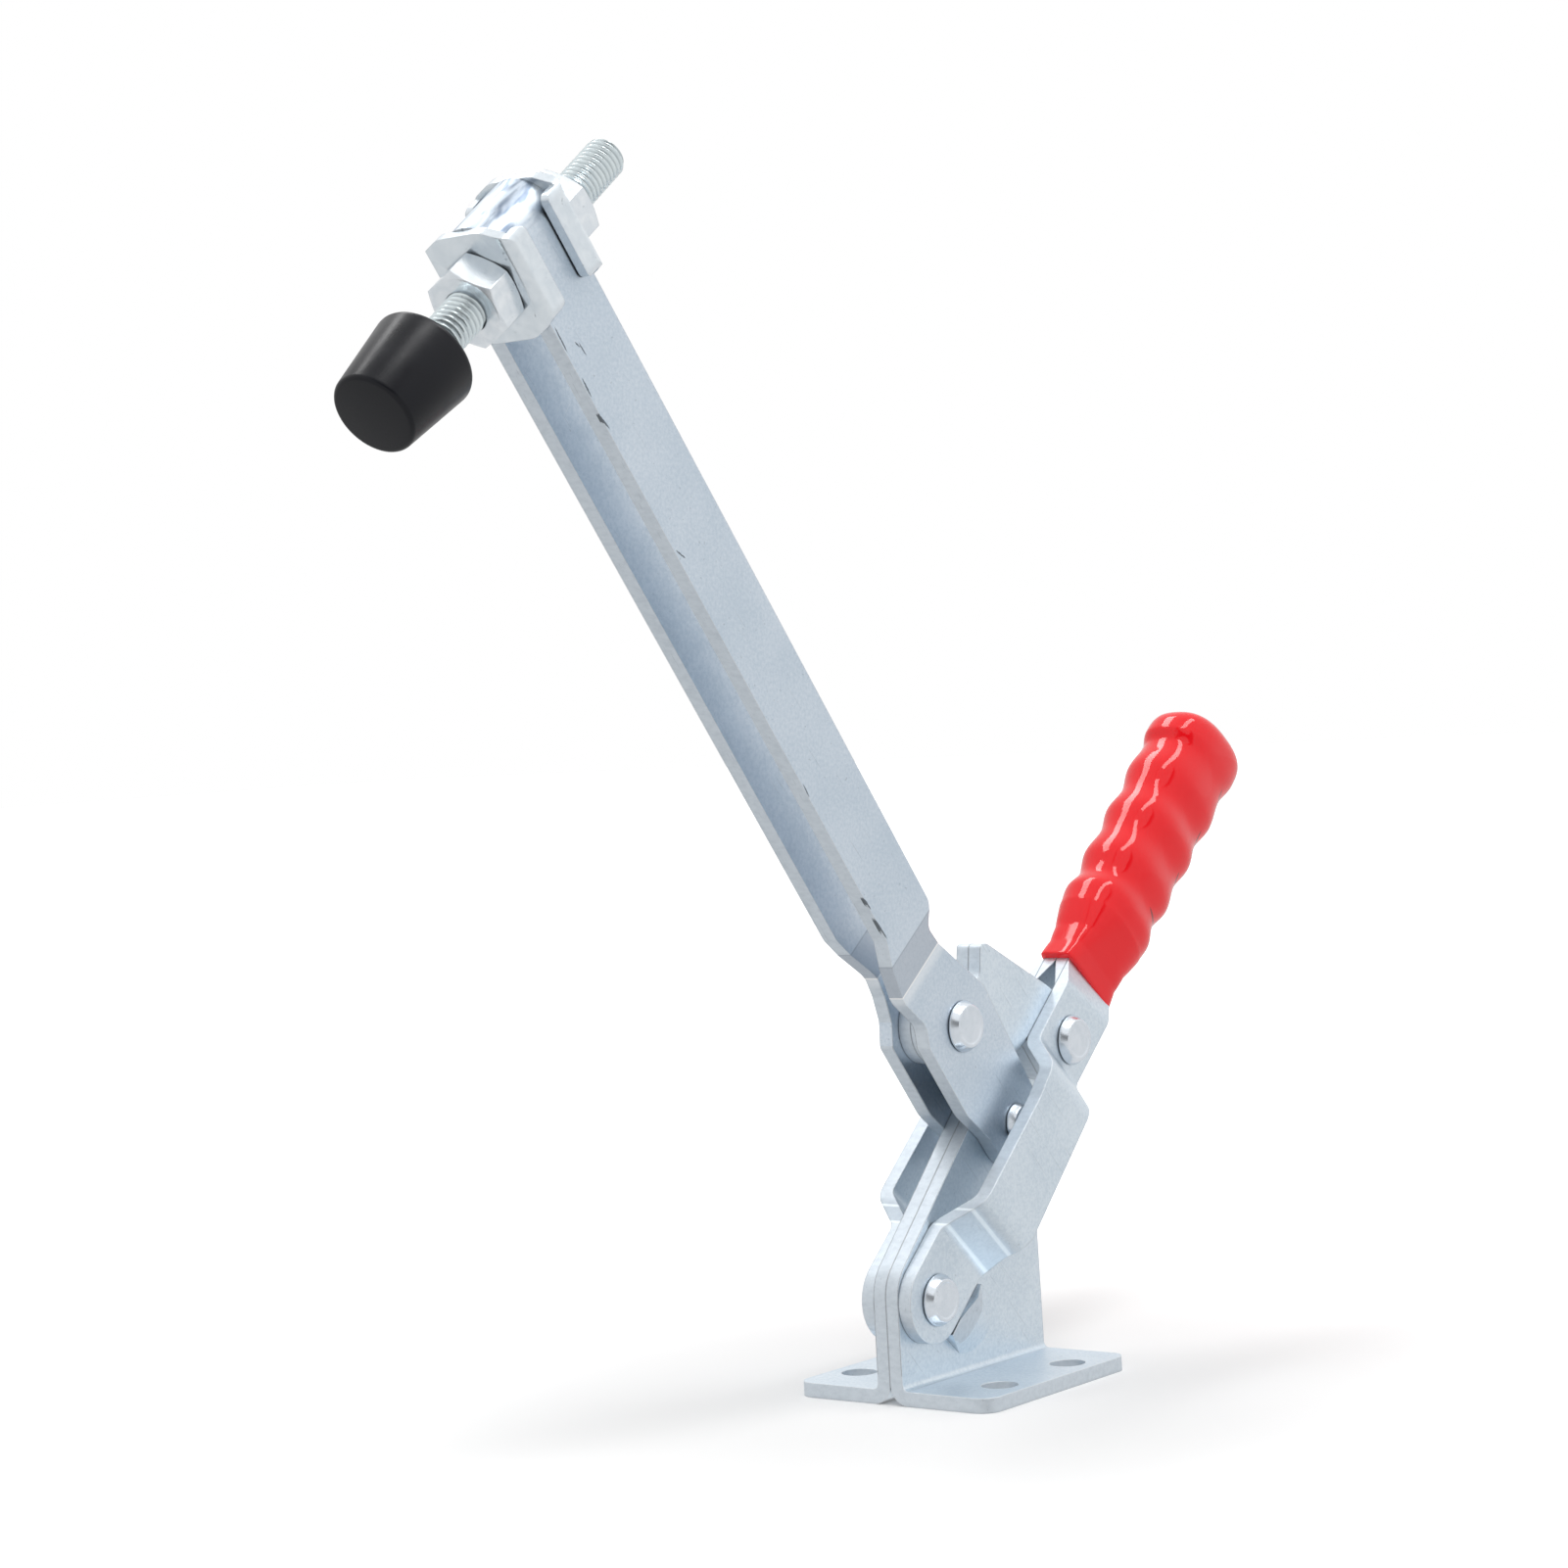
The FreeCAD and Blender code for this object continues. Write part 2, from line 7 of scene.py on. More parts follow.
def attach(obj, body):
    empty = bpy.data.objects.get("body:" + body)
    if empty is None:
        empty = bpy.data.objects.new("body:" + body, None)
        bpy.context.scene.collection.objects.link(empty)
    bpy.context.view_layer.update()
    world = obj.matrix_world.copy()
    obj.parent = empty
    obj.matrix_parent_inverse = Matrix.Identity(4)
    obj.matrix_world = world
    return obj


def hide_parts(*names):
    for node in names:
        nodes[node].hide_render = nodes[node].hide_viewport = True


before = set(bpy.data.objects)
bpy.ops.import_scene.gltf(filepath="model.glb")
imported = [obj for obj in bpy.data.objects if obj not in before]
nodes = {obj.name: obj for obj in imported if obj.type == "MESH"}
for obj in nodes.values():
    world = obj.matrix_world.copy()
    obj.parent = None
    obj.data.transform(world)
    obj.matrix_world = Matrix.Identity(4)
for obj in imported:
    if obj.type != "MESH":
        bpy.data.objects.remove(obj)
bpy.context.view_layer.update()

# Toggle clamp in its open position: bright zinc-plated sheet steel, a red dipped grip,
# a black rubber cap and a threaded spindle. Sizes are in millimetres, and MM makes them metres.
MM = 0.001

# Metallic share of the zinc: its passivation film scatters the rest, more on the small parts
film = 0.93
fastener_film = 0.8

# Pivots of the linkage, as X and Z
base_handle = (-15.6, 19.8)
base_arm = (14.8, 51.4)
handle_link = (36.8, 66.0)
arm_link = (-2.4, 73.0)
handle_angle = math.atan2(handle_link[1] - base_handle[1], handle_link[0] - base_handle[0])
arm_angle = math.radians(127.5)

# Thickness of the brackets, links and handle plates, and where a bracket's flange leaves its bend
sheet = 3.0
flange_start = 4.2

# Arm: its length from its rivet, the spindle's place in it, and its reach to the front and rear
arm_length = 198.3
spindle_from_tip = 11.4
arm_front = 8.96
arm_rear = 6.85

# Spindle and cap, as distances along the spindle from the middle of the arm, and their radii
spindle_up = 33.5
spindle_r = 4.0
spindle_chamfer = 0.7
cap_start = 30.2
cap_face = 47.5
cap_in = 13.0
cap_rim_r = 9.8
cap_face_r = 7.9
thread_pitch = 1.25
thread_depth = 0.62


def direction(angle):
    """Unit vector in the XZ plane at this angle from X toward Z."""
    return Vector((math.cos(angle), 0, math.sin(angle)))


def on_line(origin, angle, s, n, y):
    """A point by distance along a line in the XZ plane, to its left, and across the clamp."""
    along, left = direction(angle), direction(angle + math.pi / 2)
    return Vector((origin[0], y, origin[1])) + along * s + left * n


spindle_down = direction(arm_angle + math.pi / 2)
spindle_foot = on_line(arm_link, arm_angle,
                       arm_length - spindle_from_tip, (arm_front - arm_rear) / 2, 0)


# Nodes, colours and materials

def linear(code):
    """Linear colour from an sRGB hex value."""
    parts = [int(code[i:i + 2], 16) / 255 for i in (1, 3, 5)]
    return [p / 12.92 if p <= 0.04045 else ((p + 0.055) / 1.055) ** 2.4 for p in parts] + [1.0]


def add(tree, kind, settings=None, inputs=None):
    """Adds a node with its settings; an input is a value or a socket to link from."""
    node = tree.nodes.new(kind)
    for key, value in (settings or {}).items():
        setattr(node, key, value)
    for key, value in (inputs or {}).items():
        if isinstance(value, bpy.types.NodeSocket):
            tree.links.new(value, node.inputs[key])
        else:
            node.inputs[key].default_value = value
    return node


def new_material(name):
    """An empty node material; returns it with its tree and the object coordinates in millimetres."""
    material = bpy.data.materials.new(name)
    material.use_nodes = True
    tree = material.node_tree
    tree.nodes.clear()
    place = add(tree, "ShaderNodeTexCoord")
    in_mm = add(tree, "ShaderNodeVectorMath", {"operation": "SCALE"},
                {0: place.outputs["Object"], "Scale": 1 / MM})
    return material, tree, in_mm.outputs[0]


def lay_coats(tree, colour, coats):
    """Lays coats over a colour one after another; each coat is a mask and its hex value."""
    for mask, code in coats:
        laid = add(tree, "ShaderNodeMix", {"data_type": "RGBA"},
                   {"Factor": mask, "A": colour, "B": linear(code)})
        colour = laid.outputs["Result"]
    return colour


def along_across(tree, place, axes):
    """Distance along a piece's own axis in the XZ plane and to the left of it."""
    origin, angle = axes
    moved = add(tree, "ShaderNodeVectorMath", {"operation": "SUBTRACT"},
                {0: place, 1: (origin[0], 0, origin[1])})
    found = [add(tree, "ShaderNodeVectorMath", {"operation": "DOT_PRODUCT"},
                 {0: moved.outputs[0], 1: direction(angle + turn)}) for turn in (0, math.pi / 2)]
    return [distance.outputs["Value"] for distance in found]


def band_mask(tree, value, start, end, fade_in, fade_out, strength):
    """A mask between two distances, with a soft start and end."""
    rise = add(tree, "ShaderNodeMapRange", {"interpolation_type": "SMOOTHSTEP"},
               {"Value": value, "From Min": start - fade_in, "From Max": start,
                "To Min": 0.0, "To Max": strength})
    fall = add(tree, "ShaderNodeMapRange", {"interpolation_type": "SMOOTHSTEP"},
               {"Value": value, "From Min": end, "From Max": end + fade_out,
                "To Min": 1.0, "To Max": 0.0})
    both = add(tree, "ShaderNodeMath", {"operation": "MULTIPLY"},
               {0: rise.outputs[0], 1: fall.outputs[0]})
    return both.outputs[0]


def scratch_mask(tree, place, turn, length, least):
    """Thin straight scratches in one direction of the XZ plane."""
    width = 0.35
    fade = 0.03
    strength = 0.3
    turned = add(tree, "ShaderNodeMapping", {"vector_type": "TEXTURE"},
                 {"Vector": place, "Location": (length, 0.0, width), "Rotation": (0.0, -turn, 0.0),
                  "Scale": (length, width, width)})
    lines = add(tree, "ShaderNodeTexNoise", None,
                {"Vector": turned.outputs[0], "Scale": 1.0, "Detail": 1.0})
    found = add(tree, "ShaderNodeMapRange", None,
                {"Value": lines.outputs["Fac"], "From Min": least, "From Max": least + fade,
                 "To Min": 0.0, "To Max": strength})
    return found.outputs[0]


def crevice_shade_mask(tree, strength):
    """Painted shade in gaps under a millimetre or two: at rivet feet and between pieces."""
    reach = 1.6
    gap = add(tree, "ShaderNodeAmbientOcclusion", {"samples": 8}, {"Distance": reach * MM})
    share = add(tree, "ShaderNodeMapRange", None,
                {"Value": gap.outputs["AO"], "From Min": 0.12, "From Max": 0.62,
                 "To Min": strength, "To Max": 0.0})
    return share.outputs[0]


def fold_coats(tree, place, axes, normal):
    """Coats on the folded end of the strip: a painted shade on the bend, and the draw marks left where the
    bend stretched the zinc.
    """
    reach = 12.0
    mark_width = 2.2
    mark_length = 9
    facing = add(tree, "ShaderNodeVectorMath", {"operation": "DOT_PRODUCT"},
                 {0: normal.outputs["Normal"], 1: direction(axes[1])})
    bend = add(tree, "ShaderNodeMapRange", {"interpolation_type": "SMOOTHSTEP"},
               {"Value": facing.outputs["Value"], "From Min": 0.1, "From Max": 0.6,
                "To Min": 0.0, "To Max": 1.0})
    s, n = along_across(tree, place, axes)
    tip = add(tree, "ShaderNodeMath", {"operation": "GREATER_THAN"}, {0: s, 1: arm_length - reach})
    round_end = add(tree, "ShaderNodeMath", {"operation": "MULTIPLY"},
                    {0: bend.outputs[0], 1: tip.outputs[0]})
    # A painted shade makes the bend darker than the flat leg.
    bend_shade = add(tree, "ShaderNodeMath", {"operation": "MULTIPLY"}, {0: round_end.outputs[0], 1: 0.2})
    coats = [(bend_shade.outputs[0], "#93a0b2")]
    # The marks run along the spindle, some dark and some bright.
    apart = add(tree, "ShaderNodeSeparateXYZ", None, {0: place})
    drawn = add(tree, "ShaderNodeCombineXYZ", None, {0: apart.outputs["Y"], 1: s, 2: n})
    stretched = add(tree, "ShaderNodeVectorMath", {"operation": "MULTIPLY"},
                    {0: drawn.outputs[0], 1: (1 / mark_width, 1 / mark_width, 1 / mark_length)})
    noise = add(tree, "ShaderNodeTexNoise", None,
                {"Vector": stretched.outputs[0], "Scale": 1.0, "Detail": 2.0, "Distortion": 0.7})
    for least, most, code in ((0.47, 0.62, "#67758a"), (0.44, 0.34, "#eef4f8")):
        share = add(tree, "ShaderNodeMapRange", None,
                    {"Value": noise.outputs["Fac"], "From Min": least, "From Max": most,
                     "To Min": 0.0, "To Max": 0.85})
        mask = add(tree, "ShaderNodeMath", {"operation": "MULTIPLY"},
                   {0: share.outputs[0], 1: round_end.outputs[0]})
        coats.append((mask.outputs[0], code))
    return coats


def nick_and_crease_shade_mask(tree, place, marks, axes, outer):
    """Nicks, or painted shade lines for creases, at given places on the near side, as along, across, turn,
    length and width.

    They lie beyond the Y level outer, and their rims are ragged."""
    rag = 0.3
    s, n = along_across(tree, place, axes)
    flat = add(tree, "ShaderNodeCombineXYZ", None, {0: s, 1: n, 2: 0.0})
    noise = add(tree, "ShaderNodeTexNoise", None, {"Vector": place, "Scale": 3.0, "Detail": 2.0})
    ragged = add(tree, "ShaderNodeVectorMath", {"operation": "MULTIPLY_ADD"},
                 {0: noise.outputs["Color"], 1: (rag, rag, 0.0), 2: flat.outputs[0]})
    total = None
    for a, b, turn, length, width in marks:
        c, k = math.cos(math.radians(turn)), math.sin(math.radians(turn))
        spot = add(tree, "ShaderNodeVectorMath", {"operation": "SUBTRACT"},
                   {0: ragged.outputs[0], 1: (a + rag / 2, b + rag / 2, 0.0)})
        u = add(tree, "ShaderNodeVectorMath", {"operation": "DOT_PRODUCT"},
                {0: spot.outputs[0], 1: (c * 2 / length, k * 2 / length, 0.0)})
        v = add(tree, "ShaderNodeVectorMath", {"operation": "DOT_PRODUCT"},
                {0: spot.outputs[0], 1: (-k * 2 / width, c * 2 / width, 0.0)})
        both = add(tree, "ShaderNodeCombineXYZ", None, {0: u.outputs["Value"], 1: v.outputs["Value"]})
        far = add(tree, "ShaderNodeVectorMath", {"operation": "LENGTH"}, {0: both.outputs[0]})
        here = add(tree, "ShaderNodeMapRange", None,
                   {"Value": far.outputs["Value"], "From Min": 1.1, "From Max": 0.8,
                    "To Min": 0.0, "To Max": 0.8})
        if total is None:
            total = here
        else:
            total = add(tree, "ShaderNodeMath", {"operation": "MAXIMUM"},
                        {0: total.outputs[0], 1: here.outputs[0]})
    apart = add(tree, "ShaderNodeSeparateXYZ", None, {0: place})
    near = add(tree, "ShaderNodeMath", {"operation": "LESS_THAN"}, {0: apart.outputs["Y"], 1: outer})
    found = add(tree, "ShaderNodeMath", {"operation": "MULTIPLY"},
                {0: total.outputs[0], 1: near.outputs[0]})
    return found.outputs[0]


def square_to(tree, axis):
    """Whether the surface faces nearly at a right angle to an axis."""
    lean = 0.35
    geometry = add(tree, "ShaderNodeNewGeometry")
    apart = add(tree, "ShaderNodeSeparateXYZ", None, {0: geometry.outputs["Normal"]})
    size = add(tree, "ShaderNodeMath", {"operation": "ABSOLUTE"}, {0: apart.outputs[axis]})
    test = add(tree, "ShaderNodeMath", {"operation": "LESS_THAN"}, {0: size.outputs[0], 1: lean})
    return test.outputs[0]


def plate_edges(tree, place):
    """Cut edges of an upright plate: the surface faces along the plate, not across the clamp."""
    return square_to(tree, "Y")


def bracket_edges(tree, place):
    """Cut edges of a bracket: as on a plate, but round the flange they face sideways."""
    spot = add(tree, "ShaderNodeSeparateXYZ", None, {0: place})
    wide = add(tree, "ShaderNodeMath", {"operation": "ABSOLUTE"}, {0: spot.outputs["Y"]})
    in_flange = add(tree, "ShaderNodeMath", {"operation": "GREATER_THAN"},
                    {0: wide.outputs[0], 1: flange_start})
    chosen = add(tree, "ShaderNodeMix", {"data_type": "FLOAT"},
                 {"Factor": in_flange.outputs[0], "A": square_to(tree, "Y"), "B": square_to(tree, "Z")})
    return chosen.outputs["Result"]


def strip_edges(tree, place):
    """Cut edges of the folded arm: as on a plate, but neither outside nor inside the fold."""
    outside = 0.5
    inside = -0.97
    geometry = add(tree, "ShaderNodeNewGeometry")
    facing = add(tree, "ShaderNodeVectorMath", {"operation": "DOT_PRODUCT"},
                 {0: geometry.outputs["Normal"], 1: direction(arm_angle)})
    not_outside = add(tree, "ShaderNodeMath", {"operation": "LESS_THAN"},
                      {0: facing.outputs["Value"], 1: outside})
    not_inside = add(tree, "ShaderNodeMath", {"operation": "GREATER_THAN"},
                     {0: facing.outputs["Value"], 1: inside})
    both = add(tree, "ShaderNodeMath", {"operation": "MULTIPLY"},
               {0: not_outside.outputs[0], 1: not_inside.outputs[0]})
    found = add(tree, "ShaderNodeMath", {"operation": "MULTIPLY"},
                {0: square_to(tree, "Y"), 1: both.outputs[0]})
    return found.outputs[0]


def face_colour(tree, place, mottle, face, tint):
    """Faces of the sheet: two close tones of the film, with pits and specks about 0.4 mm wide."""
    share = add(tree, "ShaderNodeMapRange", None,
                {"Value": mottle, "From Min": 0.62, "From Max": 0.98,
                 "To Min": 0.0, "To Max": 1.0})
    tinted = add(tree, "ShaderNodeMix", {"data_type": "RGBA"},
                 {"Factor": share.outputs[0], "A": linear(face), "B": linear(tint)})
    noise = add(tree, "ShaderNodeTexNoise", None, {"Vector": place, "Scale": 1 / 0.9, "Detail": 1.0})
    pits = add(tree, "ShaderNodeMapRange", None,
               {"Value": noise.outputs["Fac"], "From Min": 0.74, "From Max": 0.78,
                "To Min": 0.0, "To Max": 0.3})
    return lay_coats(tree, tinted.outputs["Result"], [(pits.outputs[0], "#87929c")])


def sheared_colour(tree, place, cut):
    """Sheared edges: paler, faintly torn about every millimetre, with a painted shade line where two sheets
    meet.
    """
    across = add(tree, "ShaderNodeVectorMath", {"operation": "MULTIPLY"}, {0: place, 1: (1.0, 0.5, 1.0)})
    torn = add(tree, "ShaderNodeTexNoise", None,
               {"Vector": across.outputs[0], "Scale": 1.0, "Detail": 3.0})
    tears = add(tree, "ShaderNodeMapRange", None,
                {"Value": torn.outputs["Fac"], "From Min": 0.4, "From Max": 0.75,
                 "To Min": 0.0, "To Max": 0.3})
    # Where two 3 mm sheets lie together, a painted shade line stands for the shade in the groove between
    # their rounded rims.
    apart = add(tree, "ShaderNodeSeparateXYZ", None, {0: place})
    level = add(tree, "ShaderNodeMath", {"operation": "ABSOLUTE"}, {0: apart.outputs["Y"]})
    to_seam = add(tree, "ShaderNodeMath", {"operation": "PINGPONG"}, {0: level.outputs[0], 1: sheet / 2})
    seam = add(tree, "ShaderNodeMapRange", None,
               {"Value": to_seam.outputs[0], "From Min": 0.08, "From Max": 0.2,
                "To Min": 0.7, "To Max": 0.0})
    # Low down the brackets bend out into their flanges, so only the seam in the middle is drawn.
    above = add(tree, "ShaderNodeMath", {"operation": "GREATER_THAN"},
                {0: apart.outputs["Z"], 1: 2 * sheet})
    reach = add(tree, "ShaderNodeMath", {"operation": "MULTIPLY_ADD"},
                {0: above.outputs[0], 1: sheet, 2: sheet / 2})
    within = add(tree, "ShaderNodeMath", {"operation": "LESS_THAN"},
                 {0: level.outputs[0], 1: reach.outputs[0]})
    seam_shade = add(tree, "ShaderNodeMath", {"operation": "MULTIPLY"},
                {0: seam.outputs[0], 1: within.outputs[0]})
    return lay_coats(tree, linear(cut), [(tears.outputs[0], "#b4bec7"), (seam_shade.outputs[0], "#6c7781")])


def zinc_plate(name, face, tint, cut, rough, edge_test, axes=None, marks=(), painted_bands=(), fold=False):
    """Bright zinc with a blue passivation on pressed sheet steel: an even, finely mottled sheen.

    The sheared edges are paler and streaked through the sheet, their rims carry a painted highlight,
    and the faces carry a fine grain, a few thin handling scratches and painted shade in the gaps."""
    material, tree, place = new_material(name)
    # Faint clouds of the passivation about 18 mm across, and the crystal grain of the zinc,
    # which is finer than a tenth of a millimetre and drawn at 0.7 mm so that it shows
    cloud = add(tree, "ShaderNodeTexNoise", None, {"Vector": place, "Scale": 1 / 18, "Detail": 2.0})
    grain = add(tree, "ShaderNodeTexNoise", None,
                {"Vector": place, "Scale": 1 / 0.7, "Detail": 3.0, "Roughness": 0.6})
    mottled = add(tree, "ShaderNodeMath", {"operation": "MULTIPLY_ADD"},
                  {0: cloud.outputs["Fac"], 1: 0.6, 2: grain.outputs["Fac"]})
    mottle = mottled.outputs[0]
    on_edge = edge_test(tree, place)
    surface = add(tree, "ShaderNodeMix", {"data_type": "RGBA"},
                  {"Factor": on_edge, "A": face_colour(tree, place, mottle, face, tint),
                   "B": sheared_colour(tree, place, cut)})
    # Rims: the tumbled edge is rounded over 0.4 mm, and a painted highlight brightens it there
    rim = add(tree, "ShaderNodeBevel", {"samples": 6}, {"Radius": 0.4 * MM})
    normal = add(tree, "ShaderNodeNewGeometry")
    same = add(tree, "ShaderNodeVectorMath", {"operation": "DOT_PRODUCT"},
               {0: rim.outputs["Normal"], 1: normal.outputs["Normal"]})
    rim_highlight = add(tree, "ShaderNodeMapRange", None,
                 {"Value": same.outputs["Value"], "From Min": 0.995, "From Max": 0.85,
                  "To Min": 0.0, "To Max": 0.5})
    coats = [(rim_highlight.outputs[0], "#f2f4f6")]
    # Thin scratches in two directions, darker one way and brighter the other
    for turn, length, least, code in ((2.3, 16.0, 0.72, "#98a3ad"), (0.9, 11.0, 0.73, "#f8fafb")):
        coats.append((scratch_mask(tree, place, turn, length, least), code))
    # Bands across the piece where the press formed it: painted shade on the slope, a painted highlight at
    # the bend
    for start, end, fade_in, fade_out, strength, code in painted_bands:
        along = along_across(tree, place, axes)[0]
        coats.append((band_mask(tree, along, start, end, fade_in, fade_out, strength), code))
    if fold:
        coats += fold_coats(tree, place, axes, normal)
    if marks:
        coats.append((nick_and_crease_shade_mask(tree, place, marks, axes, near_leg), "#454d55"))
    # Painted shade darkens the gaps at rivet feet and between pieces.
    coats.append((crevice_shade_mask(tree, 0.85), crevice_shade))
    worn = lay_coats(tree, surface.outputs["Result"], coats)
    fine = add(tree, "ShaderNodeBump", None,
               {"Strength": 0.3, "Distance": 0.02 * MM, "Height": grain.outputs["Fac"],
                "Normal": rim.outputs["Normal"]})
    dull = add(tree, "ShaderNodeMapRange", None,
               {"Value": mottle, "From Min": 0.6, "From Max": 1.0,
                "To Min": rough - 0.04, "To Max": rough + 0.06})
    # A sheared edge is torn at a scale below the grain, so it is the rougher part.
    uneven = add(tree, "ShaderNodeMath", {"operation": "MULTIPLY_ADD"},
                 {0: on_edge, 1: 0.18, 2: dull.outputs[0]})
    shader = add(tree, "ShaderNodeBsdfPrincipled", None,
                 {"Base Color": worn, "Metallic": film, "Roughness": uneven.outputs[0],
                  "Normal": fine.outputs["Normal"]})
    add(tree, "ShaderNodeOutputMaterial", None, {"Surface": shader.outputs[0]})
    return material


def root_shade_mask(tree, place):
    """Roots of the thread: a painted shade keeps them dark, as little light and polish reach them."""
    darkest = spindle_r - 0.5
    clear = spindle_r - 0.2
    off = add(tree, "ShaderNodeVectorMath", {"operation": "SUBTRACT"}, {0: place, 1: spindle_foot})
    across = add(tree, "ShaderNodeVectorMath", {"operation": "CROSS_PRODUCT"},
                 {0: off.outputs[0], 1: spindle_down})
    wide = add(tree, "ShaderNodeVectorMath", {"operation": "LENGTH"}, {0: across.outputs[0]})
    root = add(tree, "ShaderNodeMapRange", None,
               {"Value": wide.outputs["Value"], "From Min": darkest, "From Max": clear,
                "To Min": 0.3, "To Max": 0.0})
    return root.outputs[0]


def zinc_fastener(name, rough, bright="#eff4f8", dull="#dde5ec", threaded=False):
    """Bright zinc on turned and pressed steel: whiter and shinier than the sheet, and patchy."""
    material, tree, place = new_material(name)
    # Barrel plating leaves brighter and duller patches a millimetre or two across
    patch = add(tree, "ShaderNodeTexNoise", None,
                {"Vector": place, "Scale": 1 / 2.2, "Detail": 3.0, "Distortion": 0.4})
    share = add(tree, "ShaderNodeMapRange", None,
                {"Value": patch.outputs["Fac"], "From Min": 0.3, "From Max": 0.75,
                 "To Min": 0.0, "To Max": 1.0})
    tinted = add(tree, "ShaderNodeMix", {"data_type": "RGBA"},
                 {"Factor": share.outputs[0], "A": linear(bright), "B": linear(dull)})
    # Small dark handling marks, about half a millimetre wide
    noise = add(tree, "ShaderNodeTexNoise", None,
                {"Vector": place, "Scale": 1.1, "Detail": 2.0, "Distortion": 0.6})
    spots = add(tree, "ShaderNodeMapRange", None,
                {"Value": noise.outputs["Fac"], "From Min": 0.71, "From Max": 0.74,
                 "To Min": 0.0, "To Max": 0.4})
    # Dark handling marks, and painted shade in the gaps round the piece
    coats = [(spots.outputs[0], "#6b7580"), (crevice_shade_mask(tree, 0.8), crevice_shade)]
    if threaded:
        # Painted shade in the roots of the thread
        coats.append((root_shade_mask(tree, place), "#55616a"))
    worn = lay_coats(tree, tinted.outputs["Result"], coats)
    rim = add(tree, "ShaderNodeBevel", {"samples": 6}, {"Radius": 0.3 * MM})
    grain = add(tree, "ShaderNodeTexNoise", None, {"Vector": place, "Scale": 1.2, "Detail": 3.0})
    fine = add(tree, "ShaderNodeBump", None,
               {"Strength": 0.25, "Distance": 0.02 * MM, "Height": grain.outputs["Fac"],
                "Normal": rim.outputs["Normal"]})
    shader = add(tree, "ShaderNodeBsdfPrincipled", None,
                 {"Base Color": worn, "Metallic": fastener_film, "Roughness": rough,
                  "Normal": fine.outputs["Normal"]})
    add(tree, "ShaderNodeOutputMaterial", None, {"Surface": shader.outputs[0]})
    return material


def dipped_vinyl():
    """Dipped vinyl: a thick glossy skin, coloured through, with a faint orange peel."""
    material, tree, place = new_material("grip dipped red vinyl")
    cloud = add(tree, "ShaderNodeTexNoise", None, {"Vector": place, "Scale": 1 / 9, "Detail": 2.0})
    colour = add(tree, "ShaderNodeMix", {"data_type": "RGBA"},
                 {"Factor": cloud.outputs["Fac"], "A": linear("#fb0a19"), "B": linear("#f50817")})
    # The skin folds into a short crease behind each hollow of the rear edge, drawn as a painted shade line.
    found = nick_and_crease_shade_mask(tree, place, grip_crease_shades, (handle_link, handle_angle), 0.0)
    crease_shaded = lay_coats(tree, colour.outputs["Result"], [(found, "#5e0a12")])
    peel = add(tree, "ShaderNodeTexNoise", None, {"Vector": place, "Scale": 0.5, "Detail": 2.0})
    skin = add(tree, "ShaderNodeBump", None,
               {"Strength": 0.08, "Distance": 0.04 * MM, "Height": peel.outputs["Fac"]})
    shader = add(tree, "ShaderNodeBsdfPrincipled", None,
                 {"Base Color": crease_shaded, "Roughness": 0.05, "IOR": 1.5, "Specular IOR Level": 0.46,
                  "Subsurface Weight": 0.12, "Subsurface Radius": (0.004, 0.0012, 0.0012),
                  "Subsurface Scale": 0.4, "Normal": skin.outputs["Normal"]})
    add(tree, "ShaderNodeOutputMaterial", None, {"Surface": shader.outputs[0]})
    return material


def moulded_rubber():
    """Moulded rubber: black with a soft sheen, a touch of blue, and fine mould grain."""
    material, tree, place = new_material("cap moulded black rubber")
    bloom = add(tree, "ShaderNodeTexNoise", None, {"Vector": place, "Scale": 0.25, "Detail": 4.0})
    colour = add(tree, "ShaderNodeMix", {"data_type": "RGBA"},
                 {"Factor": bloom.outputs["Fac"], "A": linear("#05070f"), "B": linear("#0b0e18")})
    grain = add(tree, "ShaderNodeTexNoise", None, {"Vector": place, "Scale": 3.0, "Detail": 3.0})
    fine = add(tree, "ShaderNodeBump", None,
               {"Strength": 0.25, "Distance": 0.05 * MM, "Height": grain.outputs["Fac"]})
    dull = add(tree, "ShaderNodeMapRange", None,
               {"Value": bloom.outputs["Fac"], "From Min": 0.3, "From Max": 0.7,
                "To Min": 0.27, "To Max": 0.36})
    shader = add(tree, "ShaderNodeBsdfPrincipled", None,
                 {"Base Color": colour.outputs["Result"], "Roughness": dull.outputs[0],
                  "Specular IOR Level": 0.28, "Normal": fine.outputs["Normal"]})
    add(tree, "ShaderNodeOutputMaterial", None, {"Surface": shader.outputs[0]})
    return material


# Geometry Nodes for the turned pieces and the thread

def new_tree(name, sockets):
    """A geometry tree with named inputs and one geometry output."""
    tree = bpy.data.node_groups.new(name, "GeometryNodeTree")
    tree.is_modifier = True
    for label, kind in sockets:
        tree.interface.new_socket(label, in_out="INPUT", socket_type=kind)
    tree.interface.new_socket("Geometry", in_out="OUTPUT", socket_type="NodeSocketGeometry")
    return tree


